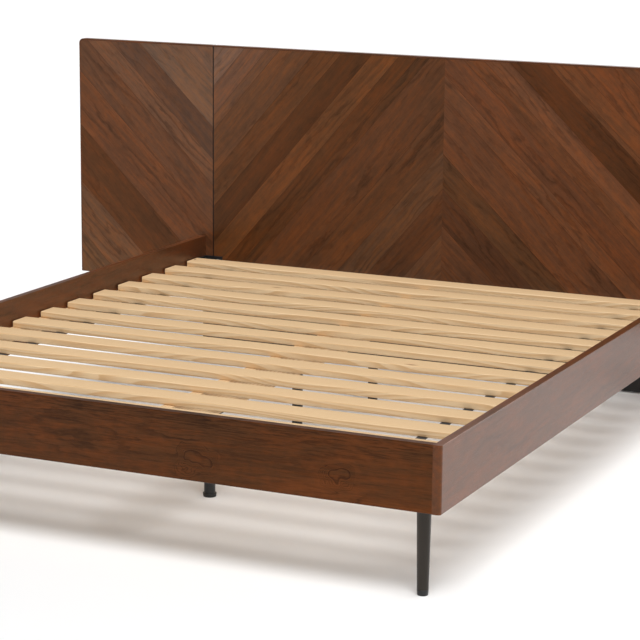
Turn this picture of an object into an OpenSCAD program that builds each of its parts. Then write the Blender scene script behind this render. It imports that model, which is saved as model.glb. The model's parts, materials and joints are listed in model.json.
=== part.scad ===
// Platform bed in walnut, with a chevron headboard that reaches out past the bed on both sides.
// X runs across the bed, Y from the foot (-) to the head (+), Z up from the floor.
// The origin is on the floor under the middle of the whole object. All sizes are millimetres.
// "left" and "right" are as seen by someone standing at the foot of the bed.

/* [Mattress space] */
// Width of the mattress
mattress_w = 1600; // [1000:10:2000]
// Length of the mattress
mattress_l = 2000; // [1800:10:2400]
// Room beside the mattress, on each side
side_gap = 5; // [3:1:20]
// Room over the length of the mattress
end_gap = 25; // [5:1:60]

/* [Rails] */
// Thickness of the side and foot rails
rail_t = 20; // [18:1:30]
// Height of the side and foot rails
rail_h = 153; // [140:1:220]
// Underside of the rails above the floor
rail_lift = 203; // [150:1:280]
// Radius of the upright corner edge at the foot
corner_r = 9; // [3:1:14]
// Radius of the long outer edges of the rails
edge_r = 2; // [1:0.5:4]

/* [Headboard] */
// Top of the headboard above the floor
head_h = 960; // [780:5:1300]
// Thickness of the headboard panels
panel_t = 25; // [22:1:35]
// Width of one wing, outside the seam
wing_w = 482; // [400:1:700]
// Width of the dark seam between the centre panel and a wing
seam_w = 4; // [2:0.5:6]
// Depth of the seam in front of its strip
seam_recess = 3; // [1:0.5:8]
// Seam's middle, inside the outer face of the side rail
seam_inset = 47; // [40:1:60]
// Thickness of the lipping on the top and outer edges
lipping_t = 5; // [3:1:8]
// Radius of the headboard's outer top corners
head_corner_r = 15; // [10:1:40]

/* [Headboard support] */
// Width of a post behind a seam
post_w = 100; // [90:1:130]
// Thickness of the posts, crossbars and battens
post_t = 30; // [26:1:45]
// Top of the posts below the top of the headboard
post_drop = 60; // [40:5:120]
// Height of the crossbars and wing battens
crossbar_h = 80; // [60:1:110]
// Middle of the upper crossbar below the top of the headboard
upper_crossbar_drop = 160; // [130:5:200]
// Middle of the lower crossbar above the underside of the rails
lower_crossbar_rise = 140; // [130:1:200]
// Length of a wing batten
batten_l = 300; // [260:5:380]
// Thickness of a felt pad under a post
pad_t = 4; // [2:1:8]
// Diameter of a felt pad
pad_d = 26; // [16:1:26]
// Thickness of a wall bumper
bumper_t = 8; // [7:1:20]
// Diameter of a wall bumper
bumper_d = 30; // [16:1:50]
// Thickness of a steel splice plate
splice_t = 4; // [3:0.5:5]
// Height of a splice plate
splice_h = 40; // [30:1:50]
// Reach of a splice plate past each edge of its post
splice_reach = 100; // [80:1:120]

/* [Slat base] */
// Number of slats
slat_n = 14; // [8:1:18]
// Width of a slat
slat_w = 70; // [50:1:90]
// Thickness of a slat
slat_t = 18; // [15:1:24]
// Top of the slats below the top of the rails
slat_drop = 60; // [40:1:70]
// End play of a slat between the side rails, at each end
slat_play = 5; // [2:1:10]
// Thickness of the cleats that carry the slats
cleat_t = 30; // [25:1:45]
// Height of the cleats
cleat_h = 28; // [20:1:38]
// Width of the centre beam
beam_w = 30; // [28:1:50]
// Height of the centre beam
beam_h = 70; // [50:1:72]
// Width of a webbing strap
strap_w = 25; // [15:1:40]
// Thickness of a webbing strap
strap_t = 1.2; // [0.8:0.1:2]
// Middle of a strap, inside the edge of the mattress
strap_inset = 150; // [80:5:300]

/* [Foot legs] */
// Middle of a leg, inside the outer faces of the rails
leg_inset = 62; // [60:1:64]
// Diameter at the top of a leg
leg_top_d = 33; // [28:1:44]
// Diameter at the lower end of a leg
leg_low_d = 26; // [22:1:28]
// Diameter of the flange on top of a leg
leg_flange_d = 64; // [62:1:66]
// Height of a leg's glide
glide_h = 13; // [8:1:20]
// How far a leg's glide screws out
glide_travel = 12; // [5:1:14]

/* [Beam legs] */
// Diameter of a beam leg
beam_leg_d = 28; // [24:1:30]
// Height of a beam leg's glide
beam_glide_h = 10; // [6:1:16]
// Diameter of a beam leg's glide
beam_glide_d = 34; // [26:1:50]
// How far a beam leg's glide screws out
beam_glide_travel = 20; // [5:1:24]

/* [Corner and head brackets] */
// Length of each arm of a corner bracket
corner_arm = 100; // [95:1:120]
// Thickness of a corner bracket's base plate
corner_plate_t = 4; // [3:0.5:6]
// Underside of the brackets above the underside of the rails
bracket_lift = 10; // [6:1:14]
// Thickness of the sheet steel in the flanges and head brackets
sheet_t = 3; // [2:0.5:4]
// Thickness of the sheet steel in the beam hangers
hanger_t = 2.5; // [1.5:0.5:3]

/* [Hidden] */
$fn = 48;

// Signs of the two sides of the bed
LEFT = -1;
RIGHT = 1;
SIDES = [LEFT, RIGHT];

// Clearances
screw_clear = 0.05;     // a screw or bolt in its hole, on the radius
stem_clear = 0.08;      // a glide's stem in its nut, on the radius
beam_clear = 0.5;       // the centre beam in its hangers, on each side
end_clear = 1;          // boards that end short of a bracket
batten_clear = 2;       // a wing batten beside its post
under_clear = 2;        // a corner bracket's flanges under the cleats
slat_clear = 3;         // a head bracket below the top of the slats
cut = 1;                // how far a cutter reaches past a face

// Main places across the bed
x_rail_in = mattress_w / 2 + side_gap;
x_rail_out = x_rail_in + rail_t;
x_seam = x_rail_out - seam_inset;
x_centre = x_seam - seam_w / 2;
x_wing = x_seam + seam_w / 2;
x_head_out = x_wing + wing_w;
x_post_in = x_seam - post_w / 2;
x_post_out = x_seam + post_w / 2;
x_batten = x_post_out + batten_clear;

// Main places along the bed
overall_d = rail_t + mattress_l + end_gap + panel_t + post_t + bumper_t;
y_foot = -overall_d / 2;
y_rail_in = y_foot + rail_t;
y_head = y_rail_in + mattress_l + end_gap;
y_panel_back = y_head + panel_t;
y_post_back = y_panel_back + post_t;

// Main places up from the floor
z_rail_top = rail_lift + rail_h;
z_slat_top = z_rail_top - slat_drop;
z_cleat_top = z_slat_top - slat_t;
z_beam_low = z_cleat_top - beam_h;
z_bracket = rail_lift + bracket_lift;
z_upper_bar = head_h - upper_crossbar_drop;
z_lower_bar = rail_lift + lower_crossbar_rise;
z_post_top = head_h - post_drop;
BAR_HEIGHTS = [z_lower_bar, z_upper_bar];

// Wood screws: [shank diameter, length, head diameter, head height]
PANEL_SCREW = [4.5, post_t + 15, 9, 2.8];
CLEAT_SCREW = [4, cleat_t + 12, 8, 2.4];
SLAT_SCREW = [4, slat_t + 20, 8, 2.4];
PLATE_SCREW = [4.5, 25, 9, 2.4];
HANGER_SCREW = [4.5, 17, 9, 2.4];
BEAM_SCREW = [4.5, 25, 9, 2.4];
screw_tip = 5;          // length of a wood screw's point

// Machine screws
insert_d = 10;          // threaded insert in a rail
insert_l = 13;
m6_d = 6;
m6_l = 14;
m6_head_d = 10.5;
m6_head_h = 3.3;
m6_socket_d = 4.6;      // across the corners
m8_d = 8;
m8_head_d = 14;
m8_head_h = 4.4;
m8_socket_d = 5.8;
m8_tail = 1;            // thread past the nut
nut_d = 15;             // across the corners
nut_h = 6.5;
washer_d = 18;
washer_t = 1.6;
recess_d = 24;          // recess for a nut in the back of a post
recess_depth = 12;
socket_depth = 2;

// Dowels between the foot rail and the side rails
dowel_d = 8;
dowel_in_side = 12;
dowel_in_foot = 18;
dowel_edge = 40;        // from the upper and lower edges of the rail
DOWEL_Z = [rail_lift + dowel_edge, z_rail_top - dowel_edge];

// Bolts of the corner brackets, from the inside corner of the rails, and their height
CORNER_BOLTS = [30, corner_arm - 20];
corner_flange_h = z_cleat_top - cleat_h - under_clear - z_bracket;
z_corner_bolt = z_bracket + (corner_plate_t + corner_flange_h) / 2;
plate_chamfer = corner_arm - 40;

// Head brackets reach from the rail past the seam, to a bolt through the centre panel
head_bracket_h = z_slat_top - slat_clear - z_bracket;
HEAD_BOLT_Z = [z_bracket + 15, z_bracket + head_bracket_h - 15];
HEAD_RAIL_BOLT_Z = [z_bracket + 20, z_bracket + head_bracket_h - 20];
x_head_bolt = x_centre - 16;
head_arm = x_rail_in - x_head_bolt + 15;
head_rail_bolt_in = head_arm - 25;

// Legs and glides
leg_flange_t = 4;
z_leg_flange = z_bracket - leg_flange_t;
leg_wall = 2;
leg_plug = 20;          // nut at the lower end of a leg
stem_d = 8;
stem_extra = 10;        // stem left in the nut when the glide is right out
glide_taper = 1;        // a glide's radius at the floor is smaller by this
leg_screw_circle = 24;  // radius of the screw circle on a leg's flange
LEG_SCREW_ANGLES = [0, 90, 180, 270];
weld_nut_d = 11;
weld_nut_h = 5;
x_leg = x_rail_out - leg_inset;
y_leg = y_foot + leg_inset;

// Slats run from the foot rail to the head brackets
y_first_slat = y_rail_in + 10 + slat_w / 2;
y_last_slat = y_head - head_arm - 5 - slat_w / 2;
slat_pitch = (y_last_slat - y_first_slat) / (slat_n - 1);
SLAT_Y = [for (i = [0 : slat_n - 1]) y_first_slat + i * slat_pitch];
slat_half = x_rail_in - slat_play;
x_slat_screw = x_rail_in - cleat_t / 2;
x_strap = mattress_w / 2 - strap_inset;
z_strap = z_cleat_top - strap_t;
strap_end = 8;          // the strap stops short of the outer slats' edges
staple_w = 12;
staple_l = 1.2;
staple_t = 0.6;

// Cleats
y_cleat_foot = y_rail_in + end_clear + sheet_t;
y_cleat_head = y_head - head_arm - end_clear;
cleat_screw_n = 8;
cleat_screw_end = 60;
CLEAT_SCREW_Y = [for (i = [0 : cleat_screw_n - 1])
    y_cleat_foot + cleat_screw_end
    + i * (y_cleat_head - y_cleat_foot - 2 * cleat_screw_end) / (cleat_screw_n - 1)];
z_cleat_screw = z_cleat_top - cleat_h / 2;

// Centre beam, its hangers and its legs
hanger_side_h = 45;
hanger_depth = 45;
hanger_ear = 25;
x_hanger_in = beam_w / 2 + beam_clear;
x_hanger_out = x_hanger_in + hanger_t;
x_hanger_screw = x_hanger_out + hanger_ear / 2;
HANGER_SCREW_Z = [z_beam_low + 8, z_beam_low + hanger_side_h - 10];
y_beam_foot = y_rail_in + hanger_t + end_clear;
y_beam_head = y_head - hanger_t - end_clear;
BEAM_LEG_Y = [for (share = [1 : 3]) y_beam_foot + share * (y_beam_head - y_beam_foot) / 4];
beam_plate_l = 90;
beam_plate_t = 3;
beam_screw_y = 32;      // from the middle of a beam leg
z_beam_leg_top = z_beam_low - beam_plate_t;

// Screws of the headboard, driven from the back
post_screw_x = 30;      // from the middle of the seam
post_screw_n = 4;
z_splice_low = z_lower_bar + splice_h / 2;
z_splice_high = z_upper_bar - splice_h / 2;
POST_SCREW_Z = [for (i = [1 : post_screw_n])
    z_splice_low + i * (z_splice_high - z_splice_low) / (post_screw_n + 1)];
base_screw_edge = 50;
BASE_SCREW_Z = [pad_t + base_screw_edge, rail_lift - base_screw_edge];
BAR_SCREW_X = [for (share = [-0.75, -0.25, 0.25, 0.75]) share * x_post_in];
BATTEN_SCREW_X = [x_batten + splice_reach + 40, x_batten + batten_l - 40];
SPLICE_SCREW_X = [
    x_post_in - splice_reach + 20, x_post_in - splice_reach + 70,
    x_seam - 25, x_seam + 25,
    x_post_out + splice_reach - 70, x_post_out + splice_reach - 20];

// Colours
WALNUT = "#5a3420";
LIPPING_BROWN = "#4a2a1a";
BLACK_PAINT = "#101013";
BARE_WOOD = "#d8bd92";
DARK_BRONZE = "#3b3836";
ZINC = "#b9bcc0";
BLACK_STEEL = "#1c1c1e";
BLACK_PLASTIC = "#0c0c0c";
WEBBING = "#2a2a2c";
FELT = "#26221f";

// Box between two opposite corners
module bar(low, high) {
    translate(low) cube(high - low);
}

// Puts what is drawn for the right side on either side
module on_side(side) {
    if (side == LEFT) mirror([1, 0, 0]) children();
    else children();
}

// Turns what points up (+Z) to point along another axis
module along_x() { rotate([0, 90, 0]) children(); }
module along_minus_x() { rotate([0, -90, 0]) children(); }
module along_y() { rotate([-90, 0, 0]) children(); }
module along_minus_y() { rotate([90, 0, 0]) children(); }
module along_minus_z() { rotate([180, 0, 0]) children(); }

// Upright drawing (x, z) made y_from to y_to thick
module upright(y_from, y_to) {
    translate([0, y_to, 0]) rotate([90, 0, 0]) linear_extrude(y_to - y_from) children();
}

// Rectangle between two opposite corners. Each listed corner [x sign, y sign] is rounded to radius r
module rounded_rect(low, high, r, corners) {
    middle = (low + high) / 2;
    half = (high - low) / 2;
    difference() {
        translate(low) square(high - low);
        for (c = corners)
            translate([middle.x + c.x * (half.x - r / 2), middle.y + c.y * (half.y - r / 2)])
                square(r, center = true);
    }
    for (c = corners)
        translate([middle.x + c.x * (half.x - r), middle.y + c.y * (half.y - r)]) circle(r);
}

// Wood screw that goes up (+Z) from its head's flat face at the origin, sunk in the wood
module sunk_screw(screw) {
    shank_r = screw[0] / 2;
    cylinder(h = screw[3], r1 = screw[2] / 2, r2 = shank_r);
    cylinder(h = screw[1] - screw_tip, r = shank_r);
    translate([0, 0, screw[1] - screw_tip]) cylinder(h = screw_tip, r1 = shank_r, r2 = 0.4);
}

// Hole for a sunk screw
module sunk_hole(screw) {
    shank_r = screw[0] / 2 + screw_clear;
    head_r = screw[2] / 2 + screw_clear;
    translate([0, 0, -cut]) cylinder(h = cut + screw[1] + screw_clear, r = shank_r);
    cylinder(h = screw[3], r1 = head_r, r2 = shank_r);
    translate([0, 0, -cut]) cylinder(h = cut, r = head_r);
}

// Wood screw that goes up (+Z) from under its flat-bottomed head at the origin
module pan_screw(screw) {
    shank_r = screw[0] / 2;
    translate([0, 0, -screw[3]]) cylinder(h = screw[3], r1 = screw[2] / 2 - 0.8, r2 = screw[2] / 2);
    cylinder(h = screw[1] - screw_tip, r = shank_r);
    translate([0, 0, screw[1] - screw_tip]) cylinder(h = screw_tip, r1 = shank_r, r2 = 0.4);
}

// Hole for the shank of a pan screw
module pan_hole(screw) {
    translate([0, 0, -cut]) cylinder(h = cut + screw[1] + screw_clear, r = screw[0] / 2 + screw_clear);
}

// Round-headed machine screw that goes up (+Z) from under its head at the origin
module socket_bolt(d, l, head_d, head_h, socket_d) {
    difference() {
        translate([0, 0, -head_h]) cylinder(h = head_h, r1 = head_d / 2 - 1, r2 = head_d / 2);
        translate([0, 0, -head_h - cut]) cylinder(h = socket_depth + cut, d = socket_d, $fn = 6);
    }
    cylinder(h = l, r = d / 2);
}

module m6_bolt() {
    socket_bolt(m6_d, m6_l, m6_head_d, m6_head_h, m6_socket_d);
}

// Places on the right side of the bed

// Bolts of the corner bracket: into the foot rail, then into the side rail
module at_corner_bolts_in_foot_rail(y) {
    for (u = CORNER_BOLTS)
        translate([x_rail_in - u, y, z_corner_bolt]) along_minus_y() children();
}

module at_corner_bolts_in_side_rail(x) {
    for (u = CORNER_BOLTS)
        translate([x, y_rail_in + u, z_corner_bolt]) along_x() children();
}

module at_head_bolts_in_side_rail(x) {
    for (z = HEAD_RAIL_BOLT_Z)
        translate([x, y_head - head_rail_bolt_in, z]) along_x() children();
}

module at_head_bolts_in_post(y) {
    for (z = HEAD_BOLT_Z)
        translate([x_head_bolt, y, z]) along_y() children();
}

module at_leg_screws(z) {
    for (a = LEG_SCREW_ANGLES)
        translate([x_leg, y_leg, z]) rotate(a + 45) translate([leg_screw_circle, 0, 0]) children();
}

module at_dowels() {
    for (z = DOWEL_Z)
        translate([x_rail_in, y_foot + rail_t / 2, z]) along_x() children();
}

module at_cleat_screws() {
    for (y = CLEAT_SCREW_Y)
        translate([x_rail_in - cleat_t, y, z_cleat_screw]) along_x() children();
}

module at_slat_screws() {
    for (y = [SLAT_Y[0], SLAT_Y[slat_n - 1]])
        translate([x_slat_screw, y, z_slat_top]) along_minus_z() children();
}

// Screws from the back of a post into the centre panel
module at_post_screws_centre() {
    for (z = POST_SCREW_Z)
        translate([x_seam - post_screw_x, y_post_back, z]) along_minus_y() children();
}

// Screws from the back of a post into the wing
module at_post_screws_wing() {
    for (z = POST_SCREW_Z)
        translate([x_seam + post_screw_x, y_post_back, z]) along_minus_y() children();
}

module at_base_screws() {
    for (z = BASE_SCREW_Z)
        translate([x_seam - post_screw_x, y_post_back, z]) along_minus_y() children();
}

module at_batten_screws() {
    for (z = BAR_HEIGHTS)
        for (x = BATTEN_SCREW_X)
            translate([x, y_post_back, z]) along_minus_y() children();
}

module at_splice_screws(z) {
    for (x = SPLICE_SCREW_X)
        translate([x, y_post_back + splice_t, z]) along_minus_y() children();
}

// Screws from the back of the crossbars, which lie on the bed's middle line
module at_bar_screws(z) {
    for (x = BAR_SCREW_X)
        translate([x, y_post_back, z]) along_minus_y() children();
}

// Screws of a beam hanger on a face at y, pointing towards the foot (-) or the head (+)
module at_hanger_screws(y, sign) {
    for (x = [-x_hanger_screw, x_hanger_screw])
        for (z = HANGER_SCREW_Z)
            translate([x, y, z]) rotate([-90 * sign, 0, 0]) children();
}

module at_beam_screws() {
    for (y = BEAM_LEG_Y)
        for (off = [-beam_screw_y, beam_screw_y])
            translate([0, y + off, z_beam_leg_top]) children();
}

// ---- Headboard ----

// Chevron-veneered panel between the seams
module centre_panel() {
    color(WALNUT)
    difference() {
        bar([-x_centre, y_head, rail_lift], [x_centre, y_panel_back, head_h - lipping_t]);
        for (side = SIDES) on_side(side) {
            at_post_screws_centre() sunk_hole(PANEL_SCREW);
            at_head_bolts_in_post(y_head - cut) cylinder(h = panel_t + 2 * cut, r = m8_d / 2 + screw_clear);
        }
        for (z = BAR_HEIGHTS) at_bar_screws(z) sunk_hole(PANEL_SCREW);
        at_hanger_screws(y_head - hanger_t, 1) pan_hole(HANGER_SCREW);
    }
}

// Outline (x, z) of a right wing, smaller by an inset at its top and outer edges
module wing_outline(inset) {
    rounded_rect([x_wing, rail_lift], [x_head_out - inset, head_h - inset], head_corner_r - inset, [[1, 1]]);
}

module wing(side) {
    color(WALNUT)
    on_side(side)
    difference() {
        upright(y_head, y_panel_back) wing_outline(lipping_t);
        at_post_screws_wing() sunk_hole(PANEL_SCREW);
        at_batten_screws() sunk_hole(PANEL_SCREW);
    }
}

module centre_lipping() {
    color(LIPPING_BROWN)
    bar([-x_centre, y_head, head_h - lipping_t], [x_centre, y_panel_back, head_h]);
}

// Strip round the top and outer edges of a wing
module wing_lipping(side) {
    color(LIPPING_BROWN)
    on_side(side)
    upright(y_head, y_panel_back)
    difference() {
        wing_outline(0);
        wing_outline(lipping_t);
    }
}

// Black strip at the bottom of the seam
module seam_strip(side) {
    color(BLACK_PAINT)
    on_side(side)
    bar([x_centre, y_head + seam_recess, rail_lift], [x_wing, y_panel_back, head_h - lipping_t]);
}

// Black board that carries the look of the headboard down to the floor
module base_board() {
    color(BLACK_PAINT)
    difference() {
        bar([-x_centre, y_head, pad_t], [x_centre, y_panel_back, rail_lift]);
        for (side = SIDES) on_side(side) at_base_screws() sunk_hole(PANEL_SCREW);
    }
}

module post(side) {
    color(BLACK_PAINT)
    on_side(side)
    difference() {
        bar([x_post_in, y_panel_back, pad_t], [x_post_out, y_post_back, z_post_top]);
        at_post_screws_centre() sunk_hole(PANEL_SCREW);
        at_post_screws_wing() sunk_hole(PANEL_SCREW);
        at_base_screws() sunk_hole(PANEL_SCREW);
        for (z = BAR_HEIGHTS) at_splice_screws(z) pan_hole(PLATE_SCREW);
        at_head_bolts_in_post(y_panel_back - cut) cylinder(h = post_t + 2 * cut, r = m8_d / 2 + screw_clear);
        at_head_bolts_in_post(y_post_back - recess_depth) cylinder(h = recess_depth + cut, d = recess_d);
    }
}

module crossbar(z) {
    color(BLACK_PAINT)
    difference() {
        bar([-x_post_in, y_panel_back, z - crossbar_h / 2], [x_post_in, y_post_back, z + crossbar_h / 2]);
        at_bar_screws(z) sunk_hole(PANEL_SCREW);
        for (side = SIDES) on_side(side) at_splice_screws(z) pan_hole(PLATE_SCREW);
    }
}

module upper_crossbar() {
    crossbar(z_upper_bar);
}

module lower_crossbar() {
    crossbar(z_lower_bar);
}

module wing_battens(side) {
    color(BLACK_PAINT)
    on_side(side)
    difference() {
        for (z = BAR_HEIGHTS)
            bar([x_batten, y_panel_back, z - crossbar_h / 2],
                [x_batten + batten_l, y_post_back, z + crossbar_h / 2]);
        at_batten_screws() sunk_hole(PANEL_SCREW);
        for (z = BAR_HEIGHTS) at_splice_screws(z) pan_hole(PLATE_SCREW);
    }
}

// Steel flats that tie crossbar, post and wing batten together
module splice_plates() {
    color(ZINC)
    for (side = SIDES) on_side(side) for (z = BAR_HEIGHTS)
        difference() {
            bar([x_post_in - splice_reach, y_post_back, z - splice_h / 2],
                [x_post_out + splice_reach, y_post_back + splice_t, z + splice_h / 2]);
            at_splice_screws(z) pan_hole(PLATE_SCREW);
        }
}

module headboard_screws() {
    color(ZINC) {
        for (side = SIDES) on_side(side) {
            at_post_screws_centre() sunk_screw(PANEL_SCREW);
            at_post_screws_wing() sunk_screw(PANEL_SCREW);
            at_base_screws() sunk_screw(PANEL_SCREW);
            at_batten_screws() sunk_screw(PANEL_SCREW);
        }
        for (z = BAR_HEIGHTS) at_bar_screws(z) sunk_screw(PANEL_SCREW);
    }
}

module plate_screws() {
    color(ZINC)
    for (side = SIDES) on_side(side) for (z = BAR_HEIGHTS) at_splice_screws(z) pan_screw(PLATE_SCREW);
}

// Rubber discs that keep the headboard off the wall
module wall_bumpers() {
    color(BLACK_PLASTIC)
    for (side = SIDES) on_side(side)
        translate([x_seam, y_post_back, z_post_top - bumper_d])
        along_y() cylinder(h = bumper_t, d = bumper_d);
}

// Felt discs under the posts
module post_pads() {
    color(FELT)
    for (side = SIDES) on_side(side) for (x = [x_seam - post_w / 3, x_seam + post_w / 3])
        translate([x, y_panel_back + post_t / 2, 0]) cylinder(h = pad_t, d = pad_d);
}

// ---- Rails ----

module side_rail(side) {
    color(WALNUT)
    on_side(side)
    difference() {
        intersection() {
            translate([0, 0, rail_lift]) linear_extrude(rail_h)
                rounded_rect([x_rail_in, y_foot], [x_rail_out, y_head], corner_r, [[1, -1]]);
            upright(y_foot - cut, y_head + cut)
                rounded_rect([x_rail_in, rail_lift], [x_rail_out, z_rail_top], edge_r, [[1, -1], [1, 1]]);
        }
        at_dowels() translate([0, 0, -cut]) cylinder(h = dowel_in_side + cut, r = dowel_d / 2 + screw_clear);
        at_corner_bolts_in_side_rail(x_rail_in - cut) insert_hole();
        at_head_bolts_in_side_rail(x_rail_in - cut) insert_hole();
        at_cleat_screws() sunk_hole(CLEAT_SCREW);
    }
}

// Hole that starts a cutter's reach before the rail's face
module insert_hole() {
    cylinder(h = insert_l + m6_l / 4 + cut, r = insert_d / 2 + screw_clear);
}

module foot_rail() {
    color(WALNUT)
    difference() {
        translate([-x_rail_in, 0, 0]) rotate([90, 0, 90]) linear_extrude(2 * x_rail_in)
            rounded_rect([y_foot, rail_lift], [y_rail_in, z_rail_top], edge_r, [[-1, -1], [-1, 1]]);
        for (side = SIDES) on_side(side) {
            at_dowels() translate([0, 0, -dowel_in_foot])
                cylinder(h = dowel_in_foot + cut, r = dowel_d / 2 + screw_clear);
            at_corner_bolts_in_foot_rail(y_rail_in + cut) insert_hole();
        }
        at_hanger_screws(y_rail_in + hanger_t, -1) pan_hole(HANGER_SCREW);
    }
}

module corner_dowels() {
    color(BARE_WOOD)
    for (side = SIDES) on_side(side)
        at_dowels() translate([0, 0, -dowel_in_foot]) cylinder(h = dowel_in_foot + dowel_in_side, d = dowel_d);
}

// Threaded sleeve, flush with the inner face of its rail
module threaded_insert() {
    difference() {
        cylinder(h = insert_l, d = insert_d);
        translate([0, 0, -cut]) cylinder(h = insert_l + 2 * cut, r = m6_d / 2 + screw_clear);
    }
}

module rail_inserts() {
    color(ZINC)
    for (side = SIDES) on_side(side) {
        at_corner_bolts_in_foot_rail(y_rail_in) threaded_insert();
        at_corner_bolts_in_side_rail(x_rail_in) threaded_insert();
        at_head_bolts_in_side_rail(x_rail_in) threaded_insert();
    }
}

// ---- Brackets and bolts ----

// Hole for an M6 bolt through sheet steel, from a cutter's reach in front of it
module m6_hole(depth) {
    translate([0, 0, -cut]) cylinder(h = depth + 2 * cut, r = m6_d / 2 + screw_clear);
}

// Base plate for a leg, with two flanges that pull the rails together
module corner_bracket(side) {
    color(BLACK_STEEL)
    on_side(side)
    difference() {
        union() {
            translate([x_rail_in, y_rail_in, z_bracket]) linear_extrude(corner_plate_t)
            polygon([
                [0, 0], [-corner_arm, 0], [-corner_arm, corner_arm - plate_chamfer],
                [-corner_arm + plate_chamfer, corner_arm], [0, corner_arm]]);
            bar([x_rail_in - corner_arm, y_rail_in, z_bracket],
                [x_rail_in, y_rail_in + sheet_t, z_bracket + corner_flange_h]);
            bar([x_rail_in - sheet_t, y_rail_in, z_bracket],
                [x_rail_in, y_rail_in + corner_arm, z_bracket + corner_flange_h]);
            at_leg_screws(z_bracket + corner_plate_t) cylinder(h = weld_nut_h, d = weld_nut_d);
        }
        at_corner_bolts_in_foot_rail(y_rail_in + sheet_t) m6_hole(sheet_t);
        at_corner_bolts_in_side_rail(x_rail_in - sheet_t) m6_hole(sheet_t);
        at_leg_screws(z_bracket) m6_hole(corner_plate_t + weld_nut_h);
    }
}

// Angle that holds the end of a side rail to the headboard
module head_bracket(side) {
    color(BLACK_STEEL)
    on_side(side)
    difference() {
        union() {
            bar([x_rail_in - sheet_t, y_head - head_arm, z_bracket],
                [x_rail_in, y_head, z_bracket + head_bracket_h]);
            bar([x_rail_in - head_arm, y_head - sheet_t, z_bracket],
                [x_rail_in, y_head, z_bracket + head_bracket_h]);
        }
        at_head_bolts_in_side_rail(x_rail_in - sheet_t) m6_hole(sheet_t);
        at_head_bolts_in_post(y_head - sheet_t - cut)
            cylinder(h = sheet_t + 2 * cut, r = m8_d / 2 + screw_clear);
    }
}

module bracket_bolts() {
    color(ZINC)
    for (side = SIDES) on_side(side) {
        at_corner_bolts_in_foot_rail(y_rail_in + sheet_t) m6_bolt();
        at_corner_bolts_in_side_rail(x_rail_in - sheet_t) m6_bolt();
        at_head_bolts_in_side_rail(x_rail_in - sheet_t) m6_bolt();
    }
}

// Bolts that go through bracket, panel and post
module head_bolts() {
    color(ZINC)
    for (side = SIDES) on_side(side)
        at_head_bolts_in_post(y_head - sheet_t)
        socket_bolt(m8_d, sheet_t + panel_t + post_t - recess_depth + washer_t + nut_h + m8_tail,
            m8_head_d, m8_head_h, m8_socket_d);
}

module head_washers() {
    color(ZINC)
    for (side = SIDES) on_side(side)
        at_head_bolts_in_post(y_post_back - recess_depth)
        difference() {
            cylinder(h = washer_t, d = washer_d);
            translate([0, 0, -cut]) cylinder(h = washer_t + 2 * cut, r = m8_d / 2 + screw_clear);
        }
}

module head_nuts() {
    color(ZINC)
    for (side = SIDES) on_side(side)
        at_head_bolts_in_post(y_post_back - recess_depth + washer_t)
        difference() {
            cylinder(h = nut_h, d = nut_d, $fn = 6);
            translate([0, 0, -cut]) cylinder(h = nut_h + 2 * cut, r = m8_d / 2 + screw_clear);
        }
}

// ---- Legs and glides ----

// Tapered steel tube with a flange on top and a nut in its lower end
module foot_leg(side) {
    color(DARK_BRONZE)
    on_side(side)
    difference() {
        union() {
            translate([x_leg, y_leg, glide_h])
                cylinder(h = z_leg_flange - glide_h, d1 = leg_low_d, d2 = leg_top_d);
            translate([x_leg, y_leg, z_leg_flange]) cylinder(h = leg_flange_t, d = leg_flange_d);
        }
        translate([x_leg, y_leg, glide_h + leg_plug])
            cylinder(h = z_leg_flange - glide_h - leg_plug,
                d1 = leg_low_d - 2 * leg_wall, d2 = leg_top_d - 2 * leg_wall);
        translate([x_leg, y_leg, glide_h - cut])
            cylinder(h = leg_plug + 2 * cut, r = stem_d / 2 + stem_clear);
        at_leg_screws(z_leg_flange) m6_hole(leg_flange_t);
    }
}

module leg_screws() {
    color(ZINC)
    for (side = SIDES) on_side(side) at_leg_screws(z_leg_flange) m6_bolt();
}

// Foot disc with a threaded stem, standing on the floor at x, y
module glide(x, y, h, d, travel) {
    color(BLACK_PLASTIC)
    translate([x, y, 0]) {
        cylinder(h = h, d1 = d - 2 * glide_taper, d2 = d);
        cylinder(h = h + travel + stem_extra, d = stem_d);
    }
}

module leg_glide(side) {
    glide(side * x_leg, y_leg, glide_h, leg_low_d, glide_travel);
}

// Round steel tube under the centre beam
module beam_leg(y) {
    color(BLACK_STEEL)
    difference() {
        union() {
            translate([0, y, beam_glide_h]) cylinder(h = z_beam_leg_top - beam_glide_h, d = beam_leg_d);
            bar([-beam_w / 2, y - beam_plate_l / 2, z_beam_leg_top],
                [beam_w / 2, y + beam_plate_l / 2, z_beam_low]);
        }
        translate([0, y, beam_glide_h + leg_plug])
            cylinder(h = z_beam_leg_top - beam_glide_h - leg_plug, d = beam_leg_d - 2 * leg_wall);
        translate([0, y, beam_glide_h - cut])
            cylinder(h = leg_plug + 2 * cut, r = stem_d / 2 + stem_clear);
        at_beam_screws() pan_hole(BEAM_SCREW);
    }
}

module foot_beam_leg() {
    beam_leg(BEAM_LEG_Y[0]);
}

module middle_beam_leg() {
    beam_leg(BEAM_LEG_Y[1]);
}

module head_beam_leg() {
    beam_leg(BEAM_LEG_Y[2]);
}

module beam_leg_screws() {
    color(ZINC)
    at_beam_screws() pan_screw(BEAM_SCREW);
}

module beam_glide(y) {
    glide(0, y, beam_glide_h, beam_glide_d, beam_glide_travel);
}

module foot_beam_glide() {
    beam_glide(BEAM_LEG_Y[0]);
}

module middle_beam_glide() {
    beam_glide(BEAM_LEG_Y[1]);
}

module head_beam_glide() {
    beam_glide(BEAM_LEG_Y[2]);
}

// ---- Slat base ----

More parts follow.
